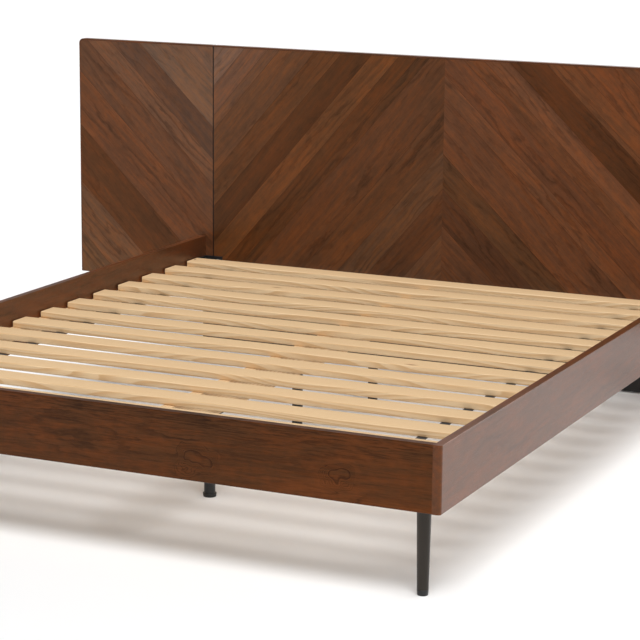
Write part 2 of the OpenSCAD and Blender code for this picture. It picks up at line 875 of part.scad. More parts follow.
module cleat(side) {
    color(BARE_WOOD)
    on_side(side)
    difference() {
        bar([x_rail_in - cleat_t, y_cleat_foot, z_cleat_top - cleat_h], [x_rail_in, y_cleat_head, z_cleat_top]);
        at_cleat_screws() sunk_hole(CLEAT_SCREW);
        at_slat_screws() sunk_hole(SLAT_SCREW);
    }
}

module cleat_screws() {
    color(ZINC)
    for (side = SIDES) on_side(side) at_cleat_screws() sunk_screw(CLEAT_SCREW);
}

module centre_beam() {
    color(BARE_WOOD)
    difference() {
        bar([-beam_w / 2, y_beam_foot, z_beam_low], [beam_w / 2, y_beam_head, z_cleat_top]);
        at_beam_screws() pan_hole(BEAM_SCREW);
    }
}

// Folded steel stirrup under one end of the beam, on a face at y; sign is +1 where the bed lies past it
module beam_hanger(y, sign) {
    color(BLACK_STEEL)
    translate([0, y, 0])
    mirror([0, sign < 0 ? 1 : 0, 0])
    difference() {
        union() {
            bar([-x_hanger_out - hanger_ear, 0, z_beam_low - hanger_t],
                [x_hanger_out + hanger_ear, hanger_t, z_beam_low + hanger_side_h]);
            bar([-x_hanger_out, 0, z_beam_low - hanger_t], [x_hanger_out, hanger_depth, z_beam_low]);
            for (side = SIDES) on_side(side)
                bar([x_hanger_in, 0, z_beam_low - hanger_t],
                    [x_hanger_out, hanger_depth, z_beam_low + hanger_side_h]);
        }
        at_hanger_screws(hanger_t, -1) pan_hole(HANGER_SCREW);
    }
}

module foot_beam_hanger() {
    beam_hanger(y_rail_in, 1);
}

module head_beam_hanger() {
    beam_hanger(y_head, -1);
}

module hanger_screws() {
    color(ZINC) {
        at_hanger_screws(y_rail_in + hanger_t, -1) pan_screw(HANGER_SCREW);
        at_hanger_screws(y_head - hanger_t, 1) pan_screw(HANGER_SCREW);
    }
}

module slats() {
    color(BARE_WOOD)
    difference() {
        for (y = SLAT_Y)
            bar([-slat_half, y - slat_w / 2, z_cleat_top], [slat_half, y + slat_w / 2, z_slat_top]);
        for (side = SIDES) on_side(side) at_slat_screws() sunk_hole(SLAT_SCREW);
    }
}

module slat_screws() {
    color(ZINC)
    for (side = SIDES) on_side(side) at_slat_screws() sunk_screw(SLAT_SCREW);
}

// Webbing under the slats that keeps them at their distance
module slat_straps() {
    color(WEBBING)
    for (side = SIDES)
        bar([side * x_strap - strap_w / 2, y_first_slat - slat_w / 2 + strap_end, z_strap],
            [side * x_strap + strap_w / 2, y_last_slat + slat_w / 2 - strap_end, z_cleat_top]);
}

// Backs of the staples that hold the straps, one on each slat
module strap_staples() {
    color(ZINC)
    for (side = SIDES) for (y = SLAT_Y)
        bar([side * x_strap - staple_w / 2, y - staple_l / 2, z_strap - staple_t],
            [side * x_strap + staple_w / 2, y + staple_l / 2, z_strap]);
}

centre_panel();
wing(LEFT);  // left_wing
wing(RIGHT);  // right_wing
centre_lipping();
wing_lipping(LEFT);  // left_wing_lipping
wing_lipping(RIGHT);  // right_wing_lipping
seam_strip(LEFT);  // left_seam_strip
seam_strip(RIGHT);  // right_seam_strip
base_board();
post(LEFT);  // left_post
post(RIGHT);  // right_post
upper_crossbar();
lower_crossbar();
wing_battens(LEFT);  // left_wing_battens
wing_battens(RIGHT);  // right_wing_battens
splice_plates();
headboard_screws();
plate_screws();
wall_bumpers();
post_pads();
side_rail(LEFT);  // left_side_rail
side_rail(RIGHT);  // right_side_rail
foot_rail();
corner_dowels();
rail_inserts();
corner_bracket(LEFT);  // left_corner_bracket
corner_bracket(RIGHT);  // right_corner_bracket
head_bracket(LEFT);  // left_head_bracket
head_bracket(RIGHT);  // right_head_bracket
bracket_bolts();
head_bolts();
head_washers();
head_nuts();
foot_leg(LEFT);  // left_foot_leg
foot_leg(RIGHT);  // right_foot_leg
leg_screws();
leg_glide(LEFT);  // left_leg_glide
leg_glide(RIGHT);  // right_leg_glide
cleat(LEFT);  // left_cleat
cleat(RIGHT);  // right_cleat
cleat_screws();
centre_beam();
foot_beam_hanger();
head_beam_hanger();
hanger_screws();
foot_beam_leg();
middle_beam_leg();
head_beam_leg();
beam_leg_screws();
foot_beam_glide();
middle_beam_glide();
head_beam_glide();
slats();
slat_screws();
slat_straps();
strap_staples();
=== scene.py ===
import json
import math

import bmesh
import bpy
from mathutils import Matrix, Vector


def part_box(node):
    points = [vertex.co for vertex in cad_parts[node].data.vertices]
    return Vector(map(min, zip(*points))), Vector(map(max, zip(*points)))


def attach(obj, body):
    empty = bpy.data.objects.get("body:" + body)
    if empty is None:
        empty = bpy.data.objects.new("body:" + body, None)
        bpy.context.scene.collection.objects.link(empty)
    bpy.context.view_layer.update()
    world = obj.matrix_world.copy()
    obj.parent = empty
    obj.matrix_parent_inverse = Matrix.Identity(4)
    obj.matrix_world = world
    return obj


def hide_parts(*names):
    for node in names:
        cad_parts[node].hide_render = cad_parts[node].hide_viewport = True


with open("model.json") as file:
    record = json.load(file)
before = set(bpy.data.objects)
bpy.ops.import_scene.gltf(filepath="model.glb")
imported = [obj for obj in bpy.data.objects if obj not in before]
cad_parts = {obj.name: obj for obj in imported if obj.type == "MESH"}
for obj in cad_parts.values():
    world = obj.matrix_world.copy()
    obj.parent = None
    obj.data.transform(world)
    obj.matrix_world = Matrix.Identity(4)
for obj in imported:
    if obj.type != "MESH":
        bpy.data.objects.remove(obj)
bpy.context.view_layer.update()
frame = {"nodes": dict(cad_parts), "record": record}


# ---------------------------------------------------------------- Headboard panels
# Three boards faced with walnut veneer stand side by side. The veneer is laid as slanting leaves: the
# centre board's leaves meet in a chevron on the middle line, and each wing carries on one side of it.
# The backs have a plain backing veneer, and the boards are lacquered satin all over.


class Wire:
    """An output socket that works in sums: each operator adds one Math node to its tree."""

    def __init__(self, tree, socket):
        self.tree = tree
        self.socket = socket

    def math(self, operation, *values):
        return self.tree.node("ShaderNodeMath", {"operation": operation}, dict(enumerate(values)))

    def __add__(self, other):
        return self.math("ADD", self, other)

    def __sub__(self, other):
        return self.math("SUBTRACT", self, other)

    def __rsub__(self, other):
        return self.math("SUBTRACT", other, self)

    def __mul__(self, other):
        return self.math("MULTIPLY", self, other)

    def __truediv__(self, other):
        return self.math("DIVIDE", self, other)

    __radd__ = __add__
    __rmul__ = __mul__

    def also(self, name):
        """Another output of the same node."""
        return Wire(self.tree, self.socket.node.outputs[name])

    def parts(self):
        """The three numbers of a vector."""
        apart = self.tree.node("ShaderNodeSeparateXYZ", {}, {"Vector": self})
        return apart, apart.also("Y"), apart.also("Z")

    def soft_step(self, low, high, start=0.0, end=1.0):
        """Goes smoothly from start to end as this value goes from low to high."""
        return self.tree.node("ShaderNodeMapRange", {"interpolation_type": "SMOOTHSTEP"}, {
            "Value": self, "From Min": low, "From Max": high, "To Min": start, "To Max": end})


class Tree:
    """A node tree in the making. node() adds any node, its settings first and then its sockets."""

    def __init__(self, node_tree):
        self.made = node_tree
        self.made.nodes.clear()

    def node(self, kind, settings, sockets):
        new = self.made.nodes.new(kind)
        for name, value in settings.items():
            setattr(new, name, value)
        for key, value in sockets.items():
            socket = self.socket(new, key)
            if isinstance(value, Wire):
                self.made.links.new(value.socket, socket)
            else:
                socket.default_value = value
        shown = [s for s in new.outputs if s.enabled]
        return Wire(self, shown[0]) if shown else new

    def socket(self, node, key):
        if isinstance(key, int):
            return node.inputs[key]
        return next(s for s in node.inputs if s.enabled and key in (s.name, s.identifier))

    def noise(self, place, stretch, detail=2.0, roughness=0.5):
        """Noise about 0.5, with stretch grains per metre along each axis of place."""
        scaled = self.node("ShaderNodeVectorMath", {"operation": "MULTIPLY"}, {0: place, 1: stretch})
        return self.node("ShaderNodeTexNoise", {}, {
            "Vector": scaled, "Scale": 1.0, "Detail": detail, "Roughness": roughness})

    def vector(self, x, y, z):
        return self.node("ShaderNodeCombineXYZ", {}, {"X": x, "Y": y, "Z": z})

    def mix(self, share, first, second, blend="MIX"):
        """Mixes two colours."""
        return self.node("ShaderNodeMix", {"data_type": "RGBA", "blend_type": blend}, {
            "Factor_Float": share, "A_Color": first, "B_Color": second})

    def scaled(self, colour, factor):
        """A colour made lighter or darker."""
        return self.node("ShaderNodeVectorMath", {"operation": "SCALE"}, {0: colour, "Scale": factor})

    def colour_map(self, name):
        return self.node("ShaderNodeAttribute", {"attribute_type": "GEOMETRY", "attribute_name": name}, {})

    def own_map(self, name):
        return self.node("ShaderNodeUVMap", {"uv_map": name}, {})

    def in_metres(self):
        """The point of the surface in the bed's frame."""
        return self.node("ShaderNodeTexCoord", {}, {}).also("Object")


def linear(red, green, blue):
    """A colour given as 0 to 255 on a screen, as the linear light that the shaders use."""
    def one(value):
        share = value / 255
        return share / 12.92 if share <= 0.04045 else ((share + 0.055) / 1.055) ** 2.4
    return one(red), one(green), one(blue)


def finish_of(name, paint):
    """A material. paint(tree) returns the sockets of its Principled shader."""
    material = bpy.data.materials.new(name)
    material.use_nodes = True
    tree = Tree(material.node_tree)
    shader = tree.node("ShaderNodeBsdfPrincipled", {}, paint(tree))
    tree.node("ShaderNodeOutputMaterial", {"target": "ALL"}, {"Surface": shader})
    return material


def relief(tree, height, depth):
    """Normals of a surface whose height runs from 0 to 1 over the given depth in metres."""
    return tree.node("ShaderNodeBump", {}, {"Height": height, "Strength": 1.0, "Distance": depth})


LACQUER_ROUGHNESS = 0.36
LACQUER_IOR = 1.5
LACQUER_TINT = (0.35, 0.16, 0.07, 1.0)      # the oiled wood colours what the lacquer mirrors
LACQUER_COAT = 0.08
LACQUER_COAT_ROUGHNESS = 0.22
PORE_DEPTH = 0.00010

# Walnut's growth rings: how many to the metre across the board, and how far they wander and flame
WALNUT_RINGS = 30.0
RING_WANDER = 6.0
RING_FLAME = 4.2
# Its patterns: grains to the metre along, across and into the board, detail and unevenness
WANDER = ((1.1, 5.0, 5.0), 1.0)
FLAME = ((4.2, 15.0, 15.0), 4.0, 0.62)
RINGS_SHOWN = ((2.3, 9.0, 9.0), 2.0)
BROAD_BAND = ((1.7, 20.0, 20.0), 3.0, 0.6)
FEATHER = ((7.0, 85.0, 85.0), 5.0, 0.68)
STREAK = ((6.0, 150.0, 150.0), 4.0, 0.6)
FIBRE = ((16.0, 640.0, 640.0), 3.0, 0.6)
CLOUD = ((3.4, 8.0, 8.0), 4.0, 0.6)
CURL = ((34.0, 40.0, 40.0), 3.0, 0.6)
DASH = ((42.0, 520.0, 520.0), 2.0, 0.55)
PORE = ((60.0, 1500.0, 1500.0), 2.0, 0.5)
# How far the feathers lean across the grain, and how strongly each pattern lightens the wood
FEATHER_LEAN = 0.35
FEATHER_DRIFT = -0.045
BAND_SHADE = 0.62
FEATHER_SHADE = 0.72
STREAK_SHADE = 0.34
FIBRE_SHADE = 0.4
CLOUD_SHADE = 0.72
CURL_SHADE = 0.40
# How strongly the late rings, those near a knot, the dashes and the pores darken it
RING_SHADE = 0.30
KNOT_SHADE = 0.70
DASH_SHADE = 0.26
PORE_SHADE = 0.12
WALNUT_LIGHT = 1.05
WALNUT_DARKEST = 0.3
COOL_WALNUT = (0.92, 1.02, 1.14, 1.0)
WARM_WALNUT = (1.10, 0.98, 0.84, 1.0)


def walnut_sockets(tree, place, tone, rings_at=None, dashes=1.0, contrast=1.0):
    """Lacquered walnut. place is (along the grain, across, deep) in metres, tone its mean colour."""
    along, across, deep = place.parts()
    wander = tree.noise(place, *WANDER) - 0.5
    flame = tree.noise(place, *FLAME) - 0.5
    rings = across * WALNUT_RINGS + wander * RING_WANDER + flame * RING_FLAME
    near_knot = 0.0
    if rings_at is not None:
        rings, near_knot = rings_at(rings, along, across)
    turn = rings.math("FRACT", rings)
    late = turn.soft_step(0.45, 0.86) * turn.soft_step(0.86, 1.0, 1.0, 0.0)
    shown = tree.noise(place, *RINGS_SHOWN).soft_step(0.38, 0.62)
    broad = tree.noise(place, *BROAD_BAND) - 0.5
    leaning = tree.vector(along + across * FEATHER_LEAN, across + along * FEATHER_DRIFT, deep)
    feather = tree.noise(leaning, *FEATHER) - 0.5
    streak = tree.noise(place, *STREAK) - 0.5
    fibre = tree.noise(place, *FIBRE)
    cloud = tree.noise(place, *CLOUD) - 0.5
    curl = tree.noise(place, *CURL) - 0.5
    dash = tree.noise(place, *DASH).soft_step(0.57, 0.72)
    pores = tree.noise(place, *PORE).soft_step(0.60, 0.70)
    pale = (broad * BAND_SHADE + feather * FEATHER_SHADE + streak * STREAK_SHADE
            + (fibre - 0.5) * FIBRE_SHADE + cloud * CLOUD_SHADE + curl * CURL_SHADE) * contrast
    dark = late * (shown * (RING_SHADE * contrast) + near_knot * KNOT_SHADE)
    light = WALNUT_LIGHT + pale - dark - dash * (dashes * DASH_SHADE) - pores * PORE_SHADE
    light = light.math("MAXIMUM", light, WALNUT_DARKEST)
    warmth = (feather * 1.4 + cloud * 0.8 + curl * 0.6 + 0.5).soft_step(0.30, 0.78)
    coloured = tree.mix(1.0, tone, tree.mix(warmth, COOL_WALNUT, WARM_WALNUT), "MULTIPLY")
    rough = LACQUER_ROUGHNESS + (fibre - 0.5) * 0.10 + pores * 0.08 + dash * 0.04
    height = fibre * 0.25 + (1.0 - pores) * 0.75
    return {"Base Color": tree.scaled(coloured, light), "Roughness": rough, "IOR": LACQUER_IOR,
            "Specular Tint": LACQUER_TINT, "Coat Weight": LACQUER_COAT,
            "Coat Roughness": LACQUER_COAT_ROUGHNESS, "Normal": relief(tree, height, PORE_DEPTH)}


JOINT_LINE = (0.0002, 0.0006)   # where a joint's dark hairline ends and fades, from the joint itself
JOINT_DARKNESS = 0.45


def veneer_paint(tree):
    """Veneer leaves: the figure follows each leaf's own map, and a dark hairline marks each joint."""
    leaf = tree.own_map("grain")
    tone = tree.colour_map("tone")
    sockets = walnut_sockets(tree, leaf, tone)
    to_low, to_high, _ = tree.own_map("joint").parts()
    nearest = to_low.math("MINIMUM", to_low, to_high)
    line = nearest.soft_step(*JOINT_LINE, JOINT_DARKNESS, 1.0)
    sockets["Base Color"] = tree.scaled(sockets["Base Color"], line)
    return sockets


walnut_veneer = finish_of("walnut_veneer", veneer_paint)

MERGE = 0.00001         # points nearer than this are one point
FLAT = math.radians(0.5)
EDGE = math.radians(28)


def copy_of(node):
    """A bmesh of a CAD node, with its loose triangles joined into whole faces."""
    shape = bmesh.new()
    shape.from_mesh(frame["nodes"][node].data)
    bmesh.ops.remove_doubles(shape, verts=shape.verts, dist=MERGE)
    bmesh.ops.dissolve_limit(shape, angle_limit=FLAT, verts=shape.verts, edges=shape.edges)
    return shape


def piece(name, mesh, body, slot, *nodes):
    """A finished piece: it rides on its body and stands for CAD nodes. slot is not used."""
    made = bpy.data.objects.new(name, mesh)
    bpy.context.scene.collection.objects.link(made)
    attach(made, body)
    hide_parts(*nodes)
    return made


def sanded(shape, radius, steps=2):
    """A plain mesh of the shape with its edges eased to a small radius. The shape is used up."""
    mesh = bpy.data.meshes.new("shape")
    shape.to_mesh(mesh)
    shape.free()
    holder = bpy.data.objects.new("holder", mesh)
    bpy.context.scene.collection.objects.link(holder)
    ease = holder.modifiers.new("ease", "BEVEL")
    ease.width = radius
    ease.segments = steps
    ease.limit_method = "ANGLE"
    ease.angle_limit = EDGE
    ease.miter_outer = "MITER_ARC"
    eased = bpy.data.meshes.new_from_object(holder.evaluated_get(bpy.context.evaluated_depsgraph_get()))
    bpy.data.objects.remove(holder)
    bpy.data.meshes.remove(mesh)
    return eased


def smoothed(mesh):
    """Shades round edges round and flat faces flat."""
    mesh.shade_smooth()
    mesh.set_sharp_from_angle(angle=EDGE)
    holder = bpy.data.objects.new("holder", mesh)
    bpy.context.scene.collection.objects.link(holder)
    level = holder.modifiers.new("level", "WEIGHTED_NORMAL")
    level.keep_sharp = True
    level.weight = 100
    flat = bpy.data.meshes.new_from_object(holder.evaluated_get(bpy.context.evaluated_depsgraph_get()))
    bpy.data.objects.remove(holder)
    bpy.data.meshes.remove(mesh)
    return flat


PANEL_EASE = 0.0006
Z_LEAVES = 0.955        # height at which the leaves' places are given
LEFT_SLANT = math.radians(49.0)
RIGHT_SLANT = math.radians(43.5)
WING_SLANT = math.radians(44.0)
NO_JOINT = (1.0, 1.0)   # the backing has no joint anywhere near

# Leaves as (place of the far edge, colour), from the one before, at the height Z_LEAVES. Most colours are
# the leaves' own tones. The palest, greyest ones, at the left end of the centre board and at the inner top
# corner of each wing, are partly painted sheen.
RISING_LEAVES = [
    (-0.67, (114, 84, 67)), (-0.59, (105, 71, 52)), (-0.55, (97, 66, 47)), (-0.43, (95, 61, 39)),
    (-0.34, (91, 56, 32)), (-0.24, (78, 46, 24)), (-0.15, (99, 60, 33)), (-0.09, (85, 50, 26)),
    (-0.05, (83, 51, 29)), (0.12, (91, 56, 34)), (0.24, (91, 57, 35)), (0.34, (92, 62, 42)),
    (0.46, (86, 55, 36)), (0.57, (96, 63, 42)), (0.7, (87, 57, 38))]
FALLING_LEAVES = [
    (-0.66, (88, 56, 37)), (-0.53, (94, 60, 40)), (-0.41, (84, 53, 35)), (-0.3, (89, 58, 37)),
    (-0.12, (100, 62, 40)), (-0.05, (104, 65, 42)), (0.06, (99, 60, 38)), (0.125, (102, 62, 38)),
    (0.205, (108, 67, 43)), (0.32, (79, 46, 25)), (0.34, (102, 62, 37)), (0.41, (104, 62, 36)),
    (0.55, (102, 60, 35)), (0.66, (99, 60, 37)), (0.8, (103, 63, 40))]
WING_LEAVES = [
    (-1.9, (97, 65, 42)), (-1.73, (102, 67, 44)), (-1.54, (86, 50, 26)), (-1.36, (100, 61, 38)),
    (-1.23, (96, 62, 42)), (-1.145, (110, 73, 51)), (-1.04, (88, 61, 46)), (-0.88, (104, 77, 60)),
    (-0.76, (109, 79, 61))]
BACKING_TONE = (96, 68, 50)
CENTRE_FROM = -0.80
WING_FROM = -2.10


class Leaves:
    """Slanting leaves between two places across the bed. lean is +1 where they rise to the right."""

    def __init__(self, x_from, x_to, first, listed, slant, lean, seed):
        self.x_from = x_from
        self.x_to = x_to
        self.edges = [first] + [edge for edge, _ in listed]
        self.tones = [tone for _, tone in listed]
        self.slant = slant
        self.lean = lean
        self.seed = seed

    def place(self, point):
        """Where the leaf line through a point crosses the height Z_LEAVES."""
        return point.x + self.lean * (Z_LEAVES - point.z) / math.tan(self.slant)

    def holds(self, point):
        return self.x_from <= point.x <= self.x_to

    def mirrored(self, seed):
        """The same leaves on the other side of the bed."""
        made = Leaves(-self.x_to, -self.x_from, 0.0, [], self.slant, -self.lean, seed)
        made.edges = [-edge for edge in reversed(self.edges)]
        made.tones = list(reversed(self.tones))
        return made

    def cut(self, shape):
        """Divides the faces that lie on these leaves along their joints."""
        along = Vector((self.lean * math.cos(self.slant), 0.0, math.sin(self.slant)))
        across = Vector((along.z, 0.0, -along.x))
        for edge in self.edges:
            faces = [f for f in shape.faces if self.holds(f.calc_center_median())]
            inside = set(faces)
            inside.update(e for f in faces for e in f.edges)
            inside.update(v for f in faces for v in f.verts)
            bmesh.ops.bisect_plane(
                shape, geom=list(inside), plane_co=Vector((edge, 0.0, Z_LEAVES)), plane_no=across)

    def index(self, place):
        return max(0, min(len(self.tones) - 1, sum(place > edge for edge in self.edges) - 1))

    def maps(self, point, number):
        """A point's place in its leaf: (along, across) for the figure, and the way to both joints."""
        place = self.place(point)
        width = math.sin(self.slant)
        along = point.z / width + place * math.cos(self.slant) * self.lean
        across = place * width
        flip = -1 if number % 2 else 1
        figure = (along + LEAF_STEP * (number + self.seed),
                  flip * across + LEAF_SHIFT * (number * 3 + self.seed))
        joints = ((place - self.edges[number]) * width, (self.edges[number + 1] - place) * width)
        return figure, joints


LEAF_STEP = 2.37        # how far apart along one log neighbouring leaves' figures lie
LEAF_SHIFT = 0.613


def veneered(node, groups):
    """A panel whose front is divided into its leaves, with a map and a colour for each."""
    shape = copy_of(node)
    for group in groups:
        bmesh.ops.bisect_plane(
            shape, geom=shape.verts[:] + shape.edges[:] + shape.faces[:],
            plane_co=Vector((group.x_to, 0.0, 0.0)), plane_no=Vector((1.0, 0.0, 0.0)))
    for group in groups:
        group.cut(shape)
    mesh = sanded(shape, PANEL_EASE)
    mesh.uv_layers.new(name="grain")
    mesh.uv_layers.new(name="joint")
    # The tone attribute holds each leaf's colour from the lists above, with the painted sheen of the palest
    # leaves in it.
    mesh.color_attributes.new("tone", "FLOAT_COLOR", "CORNER")
    grain = mesh.uv_layers["grain"]
    joint = mesh.uv_layers["joint"]
    tone = mesh.color_attributes["tone"]
    y_middle = (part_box(node)[0].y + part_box(node)[1].y) / 2
    for face in mesh.polygons:
        on_back = face.center.y > y_middle
        group = next((g for g in groups if g.holds(face.center)), groups[-1])
        number = group.index(group.place(face.center))
        colour = linear(*(BACKING_TONE if on_back else group.tones[number]))
        for corner in face.loop_indices:
            point = mesh.vertices[mesh.loops[corner].vertex_index].co
            if on_back:
                figure, joints = (point.z, point.x), NO_JOINT
            else:
                figure, joints = group.maps(point, number)
            grain.data[corner].uv = figure
            joint.data[corner].uv = joints
            tone.data[corner].color = (*colour, 1.0)
    mesh.materials.clear()
    mesh.materials.append(walnut_veneer)
    return piece(node + "_veneer", smoothed(mesh), "bed", "walnut_veneer", node)


x_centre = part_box("centre_panel")[1].x
x_head_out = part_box("right_wing_lipping")[1].x
rising = Leaves(-x_centre, 0.0, CENTRE_FROM, RISING_LEAVES, LEFT_SLANT, 1, 1)
falling = Leaves(0.0, x_centre, CENTRE_FROM, FALLING_LEAVES, RIGHT_SLANT, -1, 5)
wing_leaves = Leaves(-x_head_out, -x_centre, WING_FROM, WING_LEAVES, WING_SLANT, -1, 9)
veneered("centre_panel", [rising, falling])
veneered("left_wing", [wing_leaves])
veneered("right_wing", [wing_leaves.mirrored(13)])


# ---------------------------------------------------------------- Headboard edges and seams
# A thin strip of solid walnut covers the top and outer edges of each board. A painted black strip lies
# a few millimetres back in the gap between the centre board and each wing.

LIPPING_TONE = linear(92, 56, 37)
LIPPING_EASE = 0.0012
LIPPING_DRIFT = 0.004   # how far its grain runs out sideways over its length
CORNER_R = 0.015
x_wing_corner = x_head_out - CORNER_R
z_head_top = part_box("centre_lipping")[1].z
z_wing_corner = z_head_top - CORNER_R


def lipping_paint(tree):
    """Solid walnut whose grain follows the strip round the corner."""
    return walnut_sockets(tree, tree.own_map("grain"), (*LIPPING_TONE, 1.0))


lipping_walnut = finish_of("walnut_lipping", lipping_paint)


def along_edge(point):
    """How far a point of the lipping lies along the top edge, round the corner and down the side."""
    x = abs(point.x)
    if point.z > z_wing_corner and x > x_wing_corner:
        return x_wing_corner + CORNER_R * math.atan2(x - x_wing_corner, point.z - z_wing_corner)
    if x > x_wing_corner:
        return x_wing_corner + CORNER_R * math.pi / 2 + z_wing_corner - point.z
    return x


for lipping in ("centre_lipping", "left_wing_lipping", "right_wing_lipping"):
    strip = sanded(copy_of(lipping), LIPPING_EASE, 3)
    strip.uv_layers.new(name="grain")
    for loop in strip.loops:
        point = strip.vertices[loop.vertex_index].co
        edge_side = point.x if lipping == "centre_lipping" else along_edge(point)
        strip.uv_layers["grain"].data[loop.index].uv = (edge_side, point.y + edge_side * LIPPING_DRIFT)
    strip.materials.clear()
    strip.materials.append(lipping_walnut)
    piece(lipping + "_strip", smoothed(strip), "bed", "walnut_lipping", lipping)


ROLLED_STIPPLE = ((900.0, 900.0, 900.0), 2.0)
GRAIN_UNDER_PAINT = ((8.0, 320.0, 320.0), 3.0)
PAINT_SCUFF = ((6.0, 6.0, 6.0), 5.0, 0.7)
PAINT_BLACK = (*linear(23, 22, 22), 1.0)
SCUFFED_BLACK = (*linear(40, 38, 37), 1.0)
PAINT_ROUGHNESS = 0.42
PAINT_DEPTH = 0.00008


def black_paint(tree):
    """Black paint rolled on wood: a fine stipple, and the grain just telegraphing through."""
    place = tree.in_metres()
    stipple = tree.noise(place, *ROLLED_STIPPLE)
    grain = tree.noise(place, *GRAIN_UNDER_PAINT)
    scuff = tree.noise(place, *PAINT_SCUFF).soft_step(0.58, 0.72)
    return {"Base Color": tree.mix(scuff * 0.6, PAINT_BLACK, SCUFFED_BLACK),
            "Roughness": PAINT_ROUGHNESS + scuff * 0.2 + (stipple - 0.5) * 0.1,
            "Normal": relief(tree, stipple * 0.6 + grain * 0.4, PAINT_DEPTH)}


painted_black = finish_of("black_board", black_paint)


def plain(node, finish, radius, slot, steps=2):
    """A CAD node whose edges are eased, with one finish all over."""
    mesh = sanded(copy_of(node), radius, steps)
    mesh.materials.clear()
    mesh.materials.append(finish)
    body = next(b for b, nodes in frame["record"]["behaviour"]["bodies"].items() if node in nodes)
    return piece(node + "_eased", smoothed(mesh), body, slot, node)


SEAM_EASE = 0.0003
for strip in ("left_seam_strip", "right_seam_strip"):
    plain(strip, painted_black, SEAM_EASE, "black_board")


# ---------------------------------------------------------------- Headboard support
# Two black posts behind the seams carry the headboard, with a black board between them down to the
# floor. Crossbars and wing battens behind the panels keep them flat, and steel flats tie them together.

BOARD_EASE = 0.0015
for board in ("base_board", "left_post", "right_post", "upper_crossbar", "lower_crossbar",
              "left_wing_battens", "right_wing_battens"):
    plain(board, painted_black, BOARD_EASE, "black_board", 3)


SPANGLE = ((160.0, 160.0, 160.0), 3.0, 0.6)
RUBBED_ZINC = ((35.0, 35.0, 35.0), 4.0, 0.7)
DULL_ZINC = (0.46, 0.48, 0.50, 1.0)
BRIGHT_ZINC = (0.66, 0.67, 0.68, 1.0)
ZINC_ROUGHNESS = 0.26
SPANGLE_DEPTH = 0.00002


def zinc_paint(tree):
    """Bright zinc plating: bluish, finely mottled, with a few rubbed places."""
    place = tree.in_metres()
    spangle = tree.noise(place, *SPANGLE)
    rubbed = tree.noise(place, *RUBBED_ZINC)
    return {"Base Color": tree.mix(spangle.soft_step(0.35, 0.65), DULL_ZINC, BRIGHT_ZINC), "Metallic": 1.0,
            "Roughness": ZINC_ROUGHNESS + (rubbed - 0.5) * 0.3 + spangle * 0.06,
            "Normal": relief(tree, spangle, SPANGLE_DEPTH)}


zinc = finish_of("zinc", zinc_paint)
PLATE_EASE = 0.0004
plain("splice_plates", zinc, PLATE_EASE, "zinc")


def solids_of(node):
    """The points of each separate solid of a CAD node."""
    shape = copy_of(node)
    left = set(shape.verts)
    found = []
    while left:
        edge = [left.pop()]
        solid = []
        while edge:
            at = edge.pop()
            solid.append(at.co.copy())
            for side in at.link_edges:
                other = side.other_vert(at)
                if other in left:
                    left.remove(other)
                    edge.append(other)
        found.append(solid)
    shape.free()
    return sorted(found, key=lambda s: tuple(round(sum(c) / len(s), 4) for c in zip(*s)))


def screw_places(node):
    """The middle of each screw's outer face, and the way the screw points out of the wood."""
    places = []
    for solid in solids_of(node):
        low = Vector(min(c) for c in zip(*solid))
        high = Vector(max(c) for c in zip(*solid))
        axis = max(range(3), key=lambda i: high[i] - low[i])
        middle = (low + high) / 2

        def reach(end):
            return max((p - middle - (p - middle).dot(unit) * unit).length
                       for p in solid if abs(p[axis] - end) < (high[axis] - low[axis]) * HEAD_SHARE)
        unit = Vector(1.0 if i == axis else 0.0 for i in range(3))
        head_high = reach(high[axis]) > reach(low[axis])
        place = middle.copy()
        place[axis] = high[axis] if head_high else low[axis]
        places.append((place, unit if head_high else -unit))
    return places


HEAD_SHARE = 0.1        # the part of a screw's length in which its head is looked for
SCREW_SIDES = 24


SHANK_SIDES = 12
CROWN_SHARE = 0.82      # how wide the flat of a screw's crown is, as a part of its head
DRIVE_LOBES = 6.0


def group_of(name, sizes):
    """A geometry group with a named input for each size and for the finish: group, tree and inputs."""
    made = bpy.data.node_groups.new(name, "GeometryNodeTree")
    sockets = made.interface
    sockets.new_socket(name="Geometry", in_out="INPUT", socket_type="NodeSocketGeometry")
    sockets.new_socket(name="Geometry", in_out="OUTPUT", socket_type="NodeSocketGeometry")
    for size in sizes:
        sockets.new_socket(name=size, in_out="INPUT", socket_type="NodeSocketFloat")
    sockets.new_socket(name="Finish", in_out="INPUT", socket_type="NodeSocketMaterial")
    tree = Tree(made)
    return made, tree, tree.node("NodeGroupInput", {}, {})


def stand(tree, given, placed):
    """Ends a group: each instance becomes a real shape in its finish."""
    real = tree.node("GeometryNodeRealizeInstances", {}, {"Geometry": placed})
    finished = tree.node("GeometryNodeSetMaterial", {}, {
        "Geometry": real, "Material": given.also("Finish")})
    tree.node("NodeGroupOutput", {}, {"Geometry": finished})


